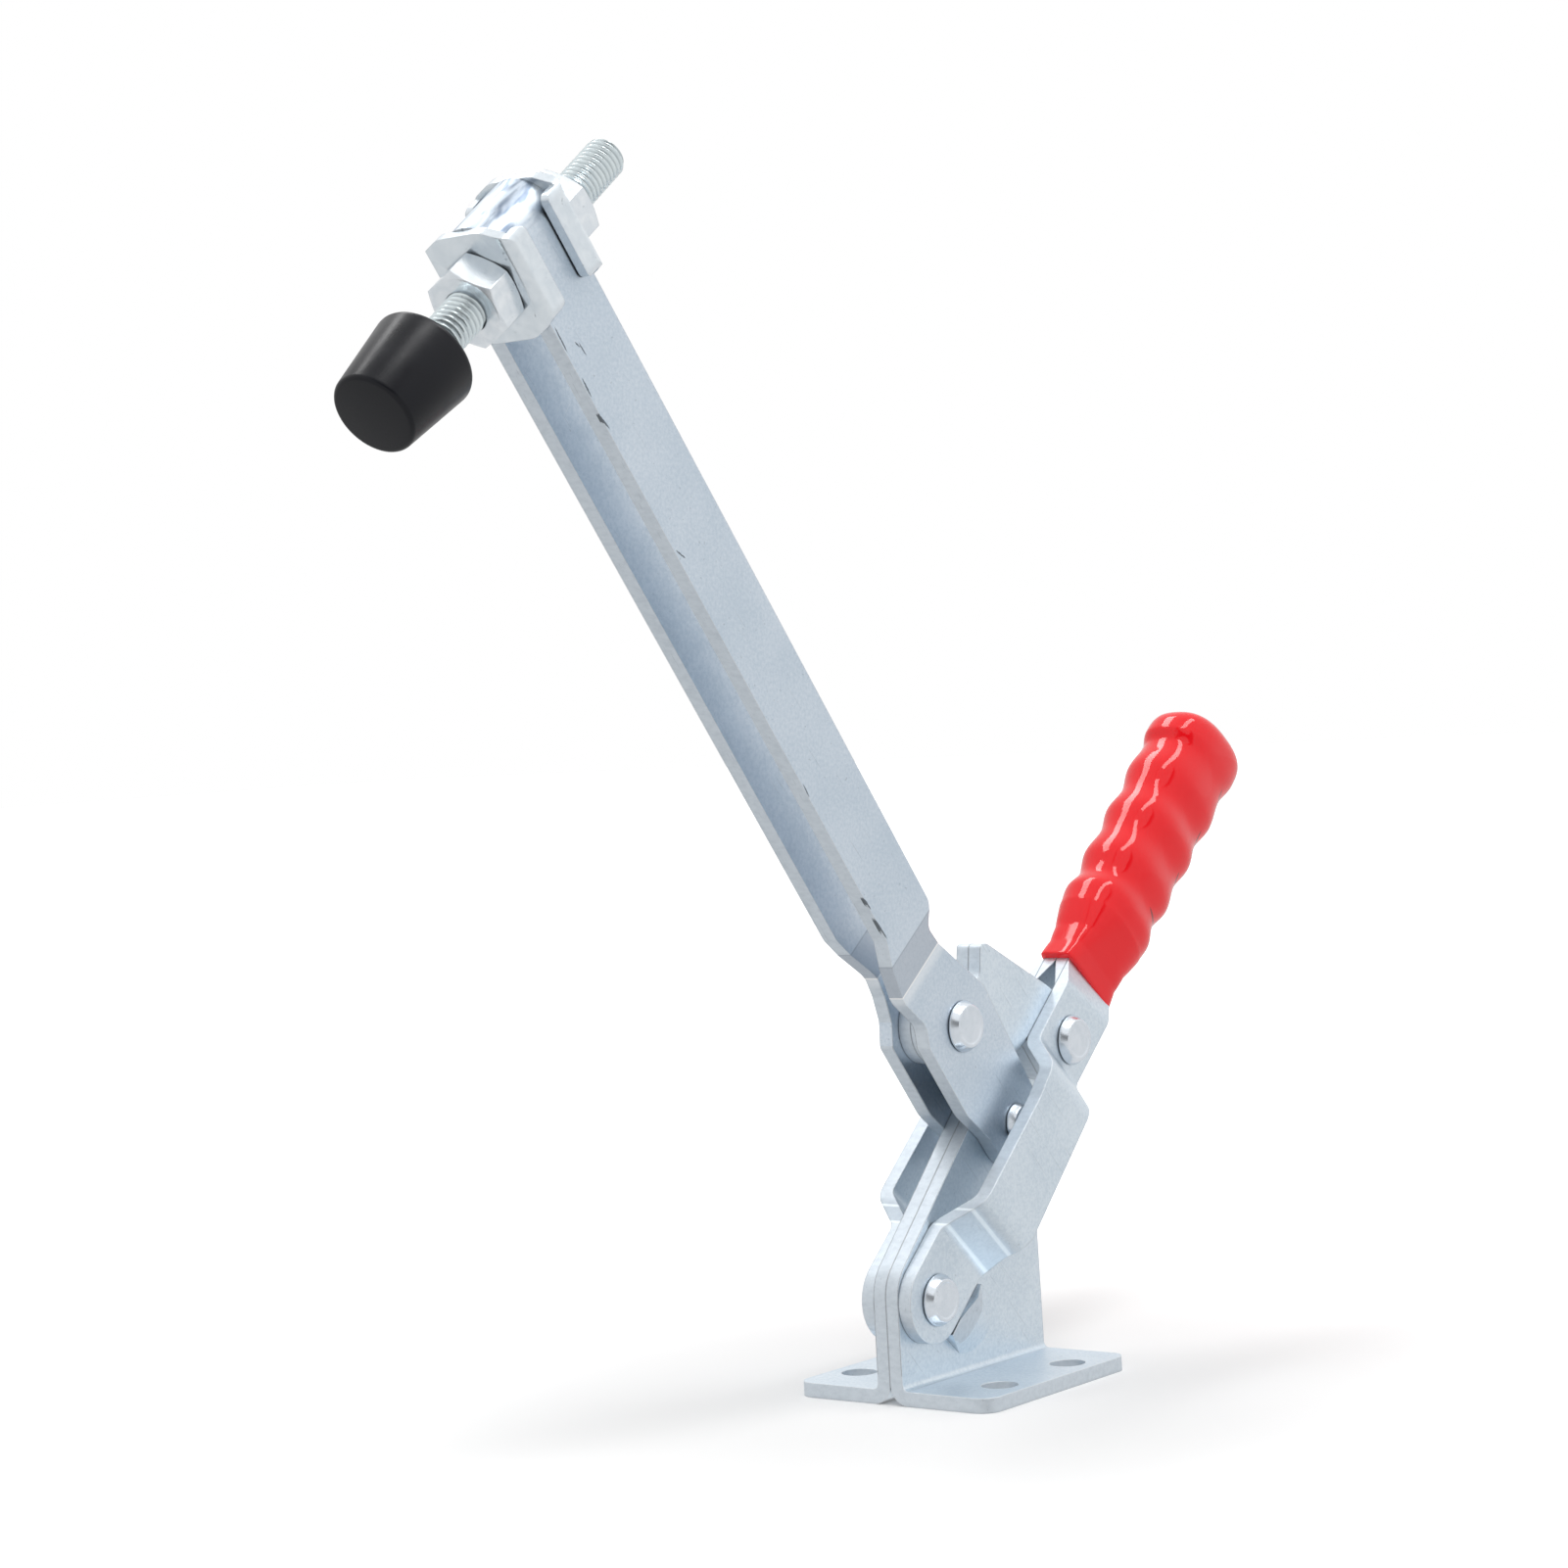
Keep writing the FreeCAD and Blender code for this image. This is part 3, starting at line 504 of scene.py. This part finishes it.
def round_rows(tree, rows, around, shape):
    """Grid rows bent round the Z axis; shape gives the height and radius at a share of each side."""
    grid = add(tree, "GeometryNodeMeshGrid", None,
               {"Size X": 1.0, "Size Y": 1.0, "Vertices X": rows, "Vertices Y": around})
    place = add(tree, "GeometryNodeInputPosition")
    apart = add(tree, "ShaderNodeSeparateXYZ", None, {0: place.outputs[0]})
    turn = add(tree, "ShaderNodeMath", {"operation": "MULTIPLY"}, {0: apart.outputs["Y"], 1: 2 * math.pi})
    share = add(tree, "ShaderNodeMath", {"operation": "ADD"}, {0: apart.outputs["X"], 1: 0.5})
    h, r = shape(share.outputs[0], apart.outputs["Y"])
    cosine = add(tree, "ShaderNodeMath", {"operation": "COSINE"}, {0: turn.outputs[0]})
    sine = add(tree, "ShaderNodeMath", {"operation": "SINE"}, {0: turn.outputs[0]})
    x = add(tree, "ShaderNodeMath", {"operation": "MULTIPLY"}, {0: r, 1: cosine.outputs[0]})
    y = add(tree, "ShaderNodeMath", {"operation": "MULTIPLY"}, {0: r, 1: sine.outputs[0]})
    spot = add(tree, "ShaderNodeCombineXYZ", None, {0: x.outputs[0], 1: y.outputs[0], 2: h})
    moved = add(tree, "GeometryNodeSetPosition", None,
                {"Geometry": grid.outputs["Mesh"], "Position": spot.outputs[0]})
    merged = add(tree, "GeometryNodeMergeByDistance", None,
                 {"Geometry": moved.outputs[0], "Distance": 1e-6})
    return merged.outputs[0]


def end_tree(tree, mesh, material):
    """Realizes what the tree made, sets its material and gives it to the output."""
    real = add(tree, "GeometryNodeRealizeInstances", None, {0: mesh})
    smooth = add(tree, "GeometryNodeSetShadeSmooth", None, {0: real.outputs[0]})
    painted = add(tree, "GeometryNodeSetMaterial", None,
                  {"Geometry": smooth.outputs[0], "Material": material})
    add(tree, "NodeGroupOutput", None, {0: painted.outputs[0]})


def turned_tree():
    """A turned piece: the profile's corners are rounded and the line goes round the Z axis."""
    tree = new_tree("turned piece", [("Profile", "NodeSocketGeometry"), ("Facets", "NodeSocketInt"),
                                     ("Finish", "NodeSocketMaterial")])
    given = add(tree, "NodeGroupInput")
    line = add(tree, "GeometryNodeMeshToCurve", None, {"Mesh": given.outputs["Profile"]})
    edge = add(tree, "GeometryNodeInputNamedAttribute", {"data_type": "FLOAT"}, {"Name": "edge_radius"})
    rounded = add(tree, "GeometryNodeFilletCurve", {"mode": "POLY"},
                  {"Curve": line.outputs[0], "Radius": edge.outputs["Attribute"],
                   "Limit Radius": True, "Count": 5})
    count = add(tree, "GeometryNodeAttributeDomainSize", {"component": "CURVE"}, {0: rounded.outputs[0]})
    last = add(tree, "ShaderNodeMath", {"operation": "SUBTRACT"}, {0: count.outputs["Point Count"], 1: 1.0})
    place = add(tree, "GeometryNodeInputPosition")

    def shape(share, turn):
        row = add(tree, "ShaderNodeMath", {"operation": "MULTIPLY_ADD"},
                  {0: share, 1: last.outputs[0], 2: 0.5})
        floor = add(tree, "ShaderNodeMath", {"operation": "FLOOR"}, {0: row.outputs[0]})
        found = add(tree, "GeometryNodeSampleIndex", {"data_type": "FLOAT_VECTOR", "domain": "POINT"},
                    {"Geometry": rounded.outputs[0], "Value": place.outputs[0],
                     "Index": floor.outputs[0]})
        corner = add(tree, "ShaderNodeSeparateXYZ", None, {0: found.outputs["Value"]})
        return corner.outputs["Z"], corner.outputs["X"]

    mesh = round_rows(tree, count.outputs["Point Count"], given.outputs["Facets"], shape)
    end_tree(tree, mesh, given.outputs["Finish"])
    return tree


def thread_tree(end_share):
    """A threaded rod along Z from 0 to Length, with chamfered ends and one helical groove."""
    tree = new_tree("threaded rod", [("Radius", "NodeSocketFloat"), ("Pitch", "NodeSocketFloat"),
                                     ("Depth", "NodeSocketFloat"), ("Length", "NodeSocketFloat"),
                                     ("Chamfer", "NodeSocketFloat"), ("Rows", "NodeSocketInt"),
                                     ("Facets", "NodeSocketInt"), ("Finish", "NodeSocketMaterial")])
    given = add(tree, "NodeGroupInput")

    def shape(share, turn):
        # The first and last rows lie on the end faces and close them at the middle.
        inner = add(tree, "ShaderNodeMapRange", None,
                    {"Value": share, "From Min": end_share, "From Max": 1 - end_share,
                     "To Min": 0.0, "To Max": given.outputs["Length"]})
        h = inner.outputs[0]
        after = add(tree, "ShaderNodeMath", {"operation": "GREATER_THAN"}, {0: share, 1: end_share / 2})
        before = add(tree, "ShaderNodeMath", {"operation": "LESS_THAN"}, {0: share, 1: 1 - end_share / 2})
        inside = add(tree, "ShaderNodeMath", {"operation": "MULTIPLY"},
                     {0: after.outputs[0], 1: before.outputs[0]})
        # The groove has flat roots and crests, and climbs one pitch in a turn.
        turns = add(tree, "ShaderNodeMath", {"operation": "DIVIDE"}, {0: h, 1: given.outputs["Pitch"]})
        phase = add(tree, "ShaderNodeMath", {"operation": "SUBTRACT"}, {0: turns.outputs[0], 1: turn})
        saw = add(tree, "ShaderNodeMath", {"operation": "FRACT"}, {0: phase.outputs[0]})
        flank = add(tree, "ShaderNodeMath", {"operation": "PINGPONG"}, {0: saw.outputs[0], 1: 0.5})
        groove = add(tree, "ShaderNodeMapRange", None,
                     {"Value": flank.outputs[0], "From Min": 0.07, "From Max": 0.42,
                      "To Min": 0.0, "To Max": given.outputs["Depth"]})
        cut = add(tree, "ShaderNodeMath", {"operation": "SUBTRACT"},
                  {0: given.outputs["Radius"], 1: groove.outputs[0]})
        # The chamfer bounds the radius near both ends.
        left = add(tree, "ShaderNodeMath", {"operation": "SUBTRACT"}, {0: given.outputs["Length"], 1: h})
        near = add(tree, "ShaderNodeMath", {"operation": "MINIMUM"}, {0: h, 1: left.outputs[0]})
        slim = add(tree, "ShaderNodeMath", {"operation": "SUBTRACT"},
                   {0: given.outputs["Radius"], 1: given.outputs["Chamfer"]})
        bound = add(tree, "ShaderNodeMath", {"operation": "ADD"}, {0: slim.outputs[0], 1: near.outputs[0]})
        least = add(tree, "ShaderNodeMath", {"operation": "MINIMUM"},
                    {0: cut.outputs[0], 1: bound.outputs[0]})
        closed = add(tree, "ShaderNodeMath", {"operation": "MULTIPLY"},
                     {0: least.outputs[0], 1: inside.outputs[0]})
        return h, closed.outputs[0]

    mesh = round_rows(tree, given.outputs["Rows"], given.outputs["Facets"], shape)
    end_tree(tree, mesh, given.outputs["Finish"])
    return tree


def new_object(name, data):
    """An object in the scene's own collection."""
    obj = bpy.data.objects.new(name, data)
    bpy.context.scene.collection.objects.link(obj)
    return obj


def bake(name, tree, values, mesh=None):
    """Runs a geometry tree on a mesh and gives the result as a plain mesh."""
    carrier = new_object(name + " carrier", mesh or bpy.data.meshes.new(name + " carrier"))
    modifier = carrier.modifiers.new("shape", "NODES")
    modifier.node_group = tree
    for item in tree.interface.items_tree:
        if item.item_type == "SOCKET" and item.in_out == "INPUT" and item.name in values:
            modifier[item.identifier] = values[item.name]
    bpy.context.view_layer.update()
    evaluated = carrier.evaluated_get(bpy.context.evaluated_depsgraph_get())
    baked = bpy.data.meshes.new_from_object(evaluated)
    carrier.modifiers.clear()
    bpy.data.objects.remove(carrier)
    baked.name = name
    return baked


def axis_frame(origin, axis):
    """Matrix that puts a piece made along Z, in millimetres, on its own axis in metres."""
    turn = Vector(axis).to_track_quat("Z", "Y").to_matrix().to_4x4()
    return Matrix.Scale(MM, 4) @ Matrix.Translation(origin) @ turn


def piece(name, mesh, matrix, body, replaced, sharp=40):
    """Places a finished mesh as a piece that stands for a CAD node and rides on its body."""
    mesh.transform(matrix)
    mesh.set_sharp_from_angle(angle=math.radians(sharp))
    obj = new_object(name, mesh)
    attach(obj, body)
    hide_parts(replaced)


def profile_mesh(points):
    """A line mesh in the XZ plane from radius, height and corner rounding."""
    mesh = bpy.data.meshes.new("profile")
    lines = [(i, i + 1) for i in range(len(points) - 1)]
    mesh.from_pydata([(r, 0, h) for r, h, edge in points], lines, [])
    rounding = mesh.attributes.new("edge_radius", "FLOAT", "POINT")
    rounding.data.foreach_set("value", [edge for r, h, edge in points])
    return mesh


# Dipped grip: half width, half thickness and squareness at stations along the handle

grip_start = 15.8
grip_stations = [(grip_start, 10.2, 4.1, 8.0), (20.2, 9.4, 4.7, 5.0), (24.6, 9.5, 6.0, 3.6)]
grip_stations += [(27.7, 10.5, 7.0, 3.0), (30.3, 11.3, 7.9, 2.6), (34.5, 11.6, 8.4, 2.6)]
grip_stations += [(39.7, 10.4, 7.7, 2.5), (45.7, 11.6, 8.5, 2.6), (52.5, 10.9, 7.7, 2.5)]
grip_stations += [(58.7, 11.7, 8.6, 2.6), (65.0, 11.0, 7.7, 2.5), (71.7, 12.0, 8.6, 2.6)]
grip_stations += [(79.0, 11.1, 8.2, 2.5), (84.4, 12.5, 8.5, 2.6)]
flare_stations = 5

# Length and squareness of its dome, and the rounding of its rim
grip_dome = (8.0, 3.2)
grip_rim = 0.45

# How far its sections lean and lie to the front of the handle's line, from the rim to the dome
grip_shift = (0.7, 1.0)
grip_rim_slant = 0.09
grip_dome_slant = 0.17
grip_settle = 18.0

# Facets round it, and rows along its wavy part and its dome
grip_facets = 96
grip_rows = 150
dome_rows = 28


def grip_size(s):
    """Half width, half thickness and squareness at a distance along the handle."""
    rows = grip_stations
    if s <= rows[0][0]:
        return rows[0][1:]
    for i in range(1, len(rows)):
        if s <= rows[i][0]:
            share = (s - rows[i - 1][0]) / (rows[i][0] - rows[i - 1][0])
            # The flare opens evenly; between crest and hollow the outline is a smooth wave.
            ease = share if i < flare_stations else share ** 2 * (3 - 2 * share)
            return tuple(a + (b - a) * ease for a, b in zip(rows[i - 1][1:], rows[i][1:]))
    return rows[-1][1:]


def grip_ring(s):
    """One ring of the grip's skin at a distance along the handle."""
    start, (length, power) = grip_stations[-1][0], grip_dome
    wide, thick, square = grip_size(s)
    if s > start:
        part = max(0.0, 1 - ((s - start) / length) ** power) ** (1 / power)
        wide, thick = wide * part, thick * part
    inset = 0.0
    if s < grip_start + grip_rim:
        share = (s - grip_start) / grip_rim
        inset = grip_rim * (1 - math.sqrt(max(0.0, 1 - (1 - share) ** 2)))
    near_rim = max(0.0, 1 - (s - grip_start) / grip_settle)
    near_dome = min(1.0, max(0.0, 1 - (start - s) / (start - grip_stations[-2][0])))
    slant = grip_rim_slant * near_rim + grip_dome_slant * near_dome
    shift = grip_shift[1] + (grip_shift[0] - grip_shift[1]) * near_rim
    ring = []
    for i in range(grip_facets):
        turn = 2 * math.pi * (i + 0.5) / grip_facets
        c, k = math.cos(turn), math.sin(turn)
        out = (abs(c / (wide - inset)) ** square + abs(k / (thick - inset)) ** square) ** (-1 / square)
        n, y = shift + out * c, out * k
        ring.append(on_line(handle_link, handle_angle, s - slant * n, n, y))
    return ring


def grip_mesh(material):
    """The grip's skin as rings of quads from its rim to the rounded end."""
    around = grip_facets
    end = grip_stations[-1][0]
    rim_end = grip_start + grip_rim
    levels = [grip_start + grip_rim * share for share in (0, 0.1, 0.3, 0.6)]
    levels += [rim_end + (end - rim_end) * i / grip_rows for i in range(grip_rows + 1)]
    levels += [end + grip_dome[0] * math.sin(0.5 * math.pi * i / dome_rows) for i in range(1, dome_rows)]
    points = [p for s in levels for p in grip_ring(s)]
    faces = []
    for row in range(len(levels) - 1):
        for i in range(around):
            j = (i + 1) % around
            low, high = row * around, (row + 1) * around
            faces.append((low + i, low + j, high + j, high + i))
    # Two points more close the skin at the rim and at the dome.
    first, last = len(points), len(points) + 1
    tops = points[-around:]
    points.append(sum(points[:around], Vector()) / around)
    points.append(sum(tops, Vector()) / around)
    top_row = (len(levels) - 1) * around
    for i in range(around):
        j = (i + 1) % around
        faces.append((j, i, first))
        faces.append((top_row + i, top_row + j, last))
    mesh = bpy.data.meshes.new("grip_skin")
    mesh.from_pydata([tuple(p) for p in points], [], faces)
    mesh.materials.append(material)
    mesh.polygons.foreach_set("use_smooth", [True] * len(mesh.polygons))
    mesh.update()
    return mesh


# Finishes

# Colour of the painted shade in the gaps, and a Y level that only the near leg's outer side lies beyond
crevice_shade = "#39434c"
near_leg = -7.0

# Dark nicks along the near leg's front edge, where it was handled: distance along the arm,
# across it, turn in degrees, length and width
arm_nicks = [(173.5, 8.4, -3, 5.2, 0.4), (163.3, 8.5, -3, 4.1, 0.4), (156.3, 8.8, 11, 4.3, 0.45)]
arm_nicks += [(41.1, 8.8, 6, 3.4, 0.45), (34.5, 8.8, 4, 5.7, 0.45), (169.0, 4.8, 4, 2.9, 0.3)]
arm_nicks += [(170.4, 5.4, 19, 1.5, 0.3), (125.6, 7.8, 24, 3.0, 0.35), (69.7, 8.6, -5, 3.0, 0.35)]
# Painted shade lines for the creases of the grip on its near side, the same way along the handle
grip_crease_shades = [(78.5, -6.3, 35, 4.6, 0.8), (65.7, -6.4, 26, 4.4, 0.8), (52.8, -6.4, 34, 4.2, 0.8)]
grip_crease_shades += [(39.6, -4.5, 83, 6.5, 0.8)]

# Bands of painted light across a plate, as start, end, fades, strength and colour: on the arm painted shade
# on its slope and its upper bend, and painted highlights at the bend below it; on the handle plates painted
# shade on the lower slope and painted highlights on the two lines that the press left
arm_painted_bands = [(18.4, 26.3, 0.3, 0.3, 0.6, "#b7bfc9"), (17.3, 18.2, 2.4, 0.2, 0.6, "#f2f7fb")]
arm_painted_bands += [(18.0, 18.25, 0.15, 0.15, 0.8, "#ffffff"), (26.2, 26.35, 0.15, 0.15, 0.3, "#8793a0")]
bulge_slant = 0.105
handle_bends = (12.9, 17.0)
handle_painted_bands = [(*handle_bends, 0.1, 3.0, 0.45, "#a3afba")]
handle_painted_bands += [(bend - 0.25, bend + 0.05, 0.35, 0.25, 0.6, "#f4fafd") for bend in handle_bends]

sheet_colours = ("#e2ecf4", "#d4e0ea", "#dae2e9")
sheet_rough = 0.4
bracket_zinc = zinc_plate("bracket bright zinc sheet", *sheet_colours, sheet_rough, bracket_edges)
link_zinc = zinc_plate("link bright zinc sheet", *sheet_colours, sheet_rough, plate_edges)
handle_zinc = zinc_plate("handle bright zinc sheet", *sheet_colours, sheet_rough, plate_edges,
                         axes=(base_handle, handle_angle + bulge_slant), painted_bands=handle_painted_bands)
arm_zinc = zinc_plate("arm bright zinc strip", "#d9e3ed", "#cad7e3", "#dbe3ea", 0.38, strip_edges,
                      axes=(arm_link, arm_angle), marks=arm_nicks, painted_bands=arm_painted_bands, fold=True)
washer_zinc = zinc_fastener("washer bright zinc", 0.26, "#e8eff4", "#dae3ea")
nut_zinc = zinc_fastener("nut bright zinc", 0.2)
rivet_zinc = zinc_fastener("rivet bright zinc", 0.2, "#e6ecf3", "#dae2ea")
thread_zinc = zinc_fastener("spindle rolled thread zinc", 0.18, "#eaf4f6", "#dbe6ea", threaded=True)
vinyl = dipped_vinyl()
rubber = moulded_rubber()

finishes = {"bracket_near": bracket_zinc, "bracket_far": bracket_zinc, "clamping_arm": arm_zinc,
            "handle_plate_near": handle_zinc, "handle_plate_far": handle_zinc,
            "link_plate_near": link_zinc, "link_plate_far": link_zinc,
            "washer_upper": washer_zinc, "washer_lower": washer_zinc,
            "nut_upper": nut_zinc, "nut_lower": nut_zinc, "grip": vinyl, "rubber_cap": rubber,
            "spindle": thread_zinc, "rivet_base_handle": rivet_zinc, "rivet_base_arm": rivet_zinc,
            "rivet_handle_link": rivet_zinc, "rivet_arm_link": rivet_zinc}
for node, finish in finishes.items():
    for slot in nodes[node].material_slots:
        slot.material = finish

# Grip
piece("grip_skin", grip_mesh(vinyl), Matrix.Scale(MM, 4), "handle", "grip", sharp=60)

# Spindle with its rolled thread
spindle_length = spindle_up + cap_start + cap_in
rows_per_turn = 9
thread_rows = int(spindle_length / thread_pitch * rows_per_turn) + 2
thread = bake("spindle_thread", thread_tree(1 / (thread_rows - 1)),
              {"Radius": spindle_r, "Pitch": thread_pitch, "Depth": thread_depth,
               "Length": spindle_length, "Chamfer": spindle_chamfer, "Rows": thread_rows,
               "Facets": 49, "Finish": thread_zinc})
top = spindle_foot - spindle_down * spindle_up
piece("spindle_thread", thread, axis_frame(top, spindle_down), "spindle", "spindle",
      sharp=50)

# Turned pieces: the cap and the four rivets with their two heads
turned = turned_tree()
bore = spindle_r + 0.05
bore_end = cap_start + cap_in
cap_profile = [(0, bore_end, 0), (bore, bore_end, 0.2), (bore, cap_start, 0.3)]
cap_profile += [(cap_rim_r, cap_start, 1.1), (cap_face_r, cap_face, 0.9), (0, cap_face, 0)]
cap = bake("cap_moulding", turned, {"Facets": 97, "Finish": rubber}, profile_mesh(cap_profile))
piece("cap_moulding", cap, axis_frame(spindle_foot, spindle_down), "spindle",
      "rubber_cap")

# Rivets: CAD node, pivot, body, half of the stack held, and radii of shank, head and its top
rivets = [("rivet_base_handle", base_handle, "base", 6.0, 4.0, 5.55, 4.3),
          ("rivet_handle_link", handle_link, "handle", 6.0, 4.0, 5.55, 4.3),
          ("rivet_arm_link", arm_link, "arm", 6.2, 4.0, 5.55, 4.3),
          ("rivet_base_arm", base_arm, "base", 6.2, 3.0, 4.25, 3.4)]
head_rise = 2.1
dish_depth = 0.14
dish_inset = 0.9
ring_inset = 0.65
for node, pivot, body, half, shank, wide, top_r in rivets:
    outer = half + head_rise
    # The riveting tool leaves a shallow dish in each head, and a sharp ring round it.
    dish = [(0, dish_depth, 0.0), (top_r - dish_inset, dish_depth, 0.1)]
    dish += [(top_r - ring_inset, 0, 0.1), (top_r, 0, 0.25)]
    line = [(r, drop - outer, edge) for r, drop, edge in dish]
    line += [(wide, -half, 0.4), (shank, -half, 0.1)]
    line += [(r, -h, edge) for r, h, edge in reversed(line)]
    mesh = bake(node + "_heads", turned, {"Facets": 73, "Finish": rivet_zinc}, profile_mesh(line))
    place = axis_frame(Vector((pivot[0], 0, pivot[1])), (0, 1, 0))
    piece(node + "_heads", mesh, place, body, node)


# Floor and world: white for the camera, plain soft light on the object

def ray_kinds(tree):
    """Whether a ray comes from the camera, and whether it comes by way of a mirror or glass."""
    path = add(tree, "ShaderNodeLightPath")
    mirrored = add(tree, "ShaderNodeMath", {"operation": "MAXIMUM"},
                   {0: path.outputs["Is Glossy Ray"], 1: path.outputs["Is Transmission Ray"]})
    return path.outputs["Is Camera Ray"], mirrored.outputs[0]


floor_half = 6.0
corners = [(-floor_half, -floor_half, 0), (floor_half, -floor_half, 0)]
corners += [(floor_half, floor_half, 0), (-floor_half, floor_half, 0)]
floor_mesh = bpy.data.meshes.new("floor")
floor_mesh.from_pydata(corners, [], [(0, 1, 2, 3)])
floor = new_object("floor", floor_mesh)
floor_paint, tree, in_mm = new_material("floor matt white")
from_camera, mirrored = ray_kinds(tree)
matt = add(tree, "ShaderNodeBsdfDiffuse", None, {"Color": linear("#f2f2f2")})
# The lamps fade with distance, so the floor is lifted to white away from the object.
far = add(tree, "ShaderNodeVectorMath", {"operation": "LENGTH"}, {0: in_mm})
lift_level = add(tree, "ShaderNodeMapRange", {"interpolation_type": "SMOOTHSTEP"},
                 {"Value": far.outputs["Value"], "From Min": 50, "From Max": 260,
                  "To Min": 0.12, "To Max": 0.8})
lift = add(tree, "ShaderNodeEmission", None, {"Color": (1, 1, 1, 1), "Strength": lift_level.outputs[0]})
lifted = add(tree, "ShaderNodeAddShader", None, {0: matt.outputs[0], 1: lift.outputs[0]})
for_camera = add(tree, "ShaderNodeMixShader", None,
                 {0: from_camera, 1: matt.outputs[0], 2: lifted.outputs[0]})
white = add(tree, "ShaderNodeEmission", None, {"Color": (1, 1, 1, 1), "Strength": 0.8})
ground = add(tree, "ShaderNodeMixShader", None,
             {0: mirrored, 1: for_camera.outputs[0], 2: white.outputs[0]})
add(tree, "ShaderNodeOutputMaterial", None, {"Surface": ground.outputs[0]})
floor_mesh.materials.append(floor_paint)

world = bpy.data.worlds.new("studio")
bpy.context.scene.world = world
world.use_nodes = True
tree = world.node_tree
tree.nodes.clear()
from_camera, mirrored = ray_kinds(tree)
# In reflections the studio is white overhead and greyer toward its walls. Two dark openings
# give the bends and fasteners their dark streaks, and each wave of the grip its darker disc.
sky = add(tree, "ShaderNodeTexCoord")
height = add(tree, "ShaderNodeSeparateXYZ", None, {0: sky.outputs["Generated"]})
shade = add(tree, "ShaderNodeMapRange", {"interpolation_type": "SMOOTHSTEP"},
            {"Value": height.outputs["Z"], "From Min": 0.05, "From Max": 0.6,
             "To Min": 0.89, "To Max": 1.0})
# Openings: direction, cosines at the outer and inner rim, and the brightness left inside
openings = [((-0.78, -0.62, 0.05), 0.84, 0.92, 0.5), ((-0.57, -0.57, 0.59), 0.78, 0.88, 0.25)]
for toward, outer, inner, dark in openings:
    opening = add(tree, "ShaderNodeVectorMath", {"operation": "DOT_PRODUCT"},
                  {0: sky.outputs["Generated"], 1: toward})
    dim = add(tree, "ShaderNodeMapRange", {"interpolation_type": "SMOOTHSTEP"},
              {"Value": opening.outputs["Value"], "From Min": outer, "From Max": inner,
               "To Min": 1.0, "To Max": dark})
    shade = add(tree, "ShaderNodeMath", {"operation": "MULTIPLY"},
                {0: shade.outputs[0], 1: dim.outputs[0]})
soft_light = 0.48
plain = add(tree, "ShaderNodeMix", {"data_type": "FLOAT"},
            {"Factor": from_camera, "A": soft_light, "B": 1.0})
level = add(tree, "ShaderNodeMix", {"data_type": "FLOAT"},
            {"Factor": mirrored, "A": plain.outputs["Result"], "B": shade.outputs[0]})
air = add(tree, "ShaderNodeBackground", None, {"Color": (1, 1, 1, 1), "Strength": level.outputs["Result"]})
add(tree, "ShaderNodeOutputWorld", None, {"Surface": air.outputs[0]})

# Camera, where the photograph was taken
camera_turn = math.radians(51.886)
camera_lift = math.radians(1.27)
camera_roll = math.radians(-3.124)
camera_place = Vector((-581.132, -417.853, 139.403)) * MM
back = Vector((-math.sin(camera_turn) * math.cos(camera_lift),
               -math.cos(camera_turn) * math.cos(camera_lift), math.sin(camera_lift)))
right = Vector((math.cos(camera_turn), -math.sin(camera_turn), 0))
up = back.cross(right)
right, up = (right * math.cos(camera_roll) + up * math.sin(camera_roll),
             up * math.cos(camera_roll) - right * math.sin(camera_roll))
camera_data = bpy.data.cameras.new("camera")
camera_data.sensor_width = 36.0
camera_data.lens = 81.04
camera = new_object("camera", camera_data)
camera.matrix_world = Matrix.Translation(camera_place) @ Matrix((right, up, back)).transposed().to_4x4()
bpy.context.scene.camera = camera

# Soft lamps: a broad key like an open sky, and two strips overhead along the clamp
sun_data = bpy.data.lights.new("key", "SUN")
sun_data.energy = 0.45
sun_data.angle = math.radians(50)
sun = new_object("key", sun_data)
sun.rotation_mode = "QUATERNION"
sun.rotation_quaternion = Vector((0.45, 0.5, -0.74)).to_track_quat("-Z", "Y")
# Strips: name, place, length, width and watts; each aims at the middle plane of the clamp.
aim_height = 0.1
strips = [("strip behind", (0.05, 0.48, 0.95), 0.8, 0.15, 1.9)]
strips += [("strip in front", (0.1, -0.27, 0.95), 0.8, 0.19, 2.7)]
for name, place, length, width, watts in strips:
    data = bpy.data.lights.new(name, "AREA")
    data.shape = "RECTANGLE"
    data.size, data.size_y, data.energy = length, width, watts
    lamp = new_object(name, data)
    lamp.location = place
    aim = Vector((place[0], 0, aim_height)) - Vector(place)
    lamp.rotation_euler = (math.atan2(aim.y, -aim.z), 0, 0)

bpy.context.scene.view_settings.view_transform = "Standard"
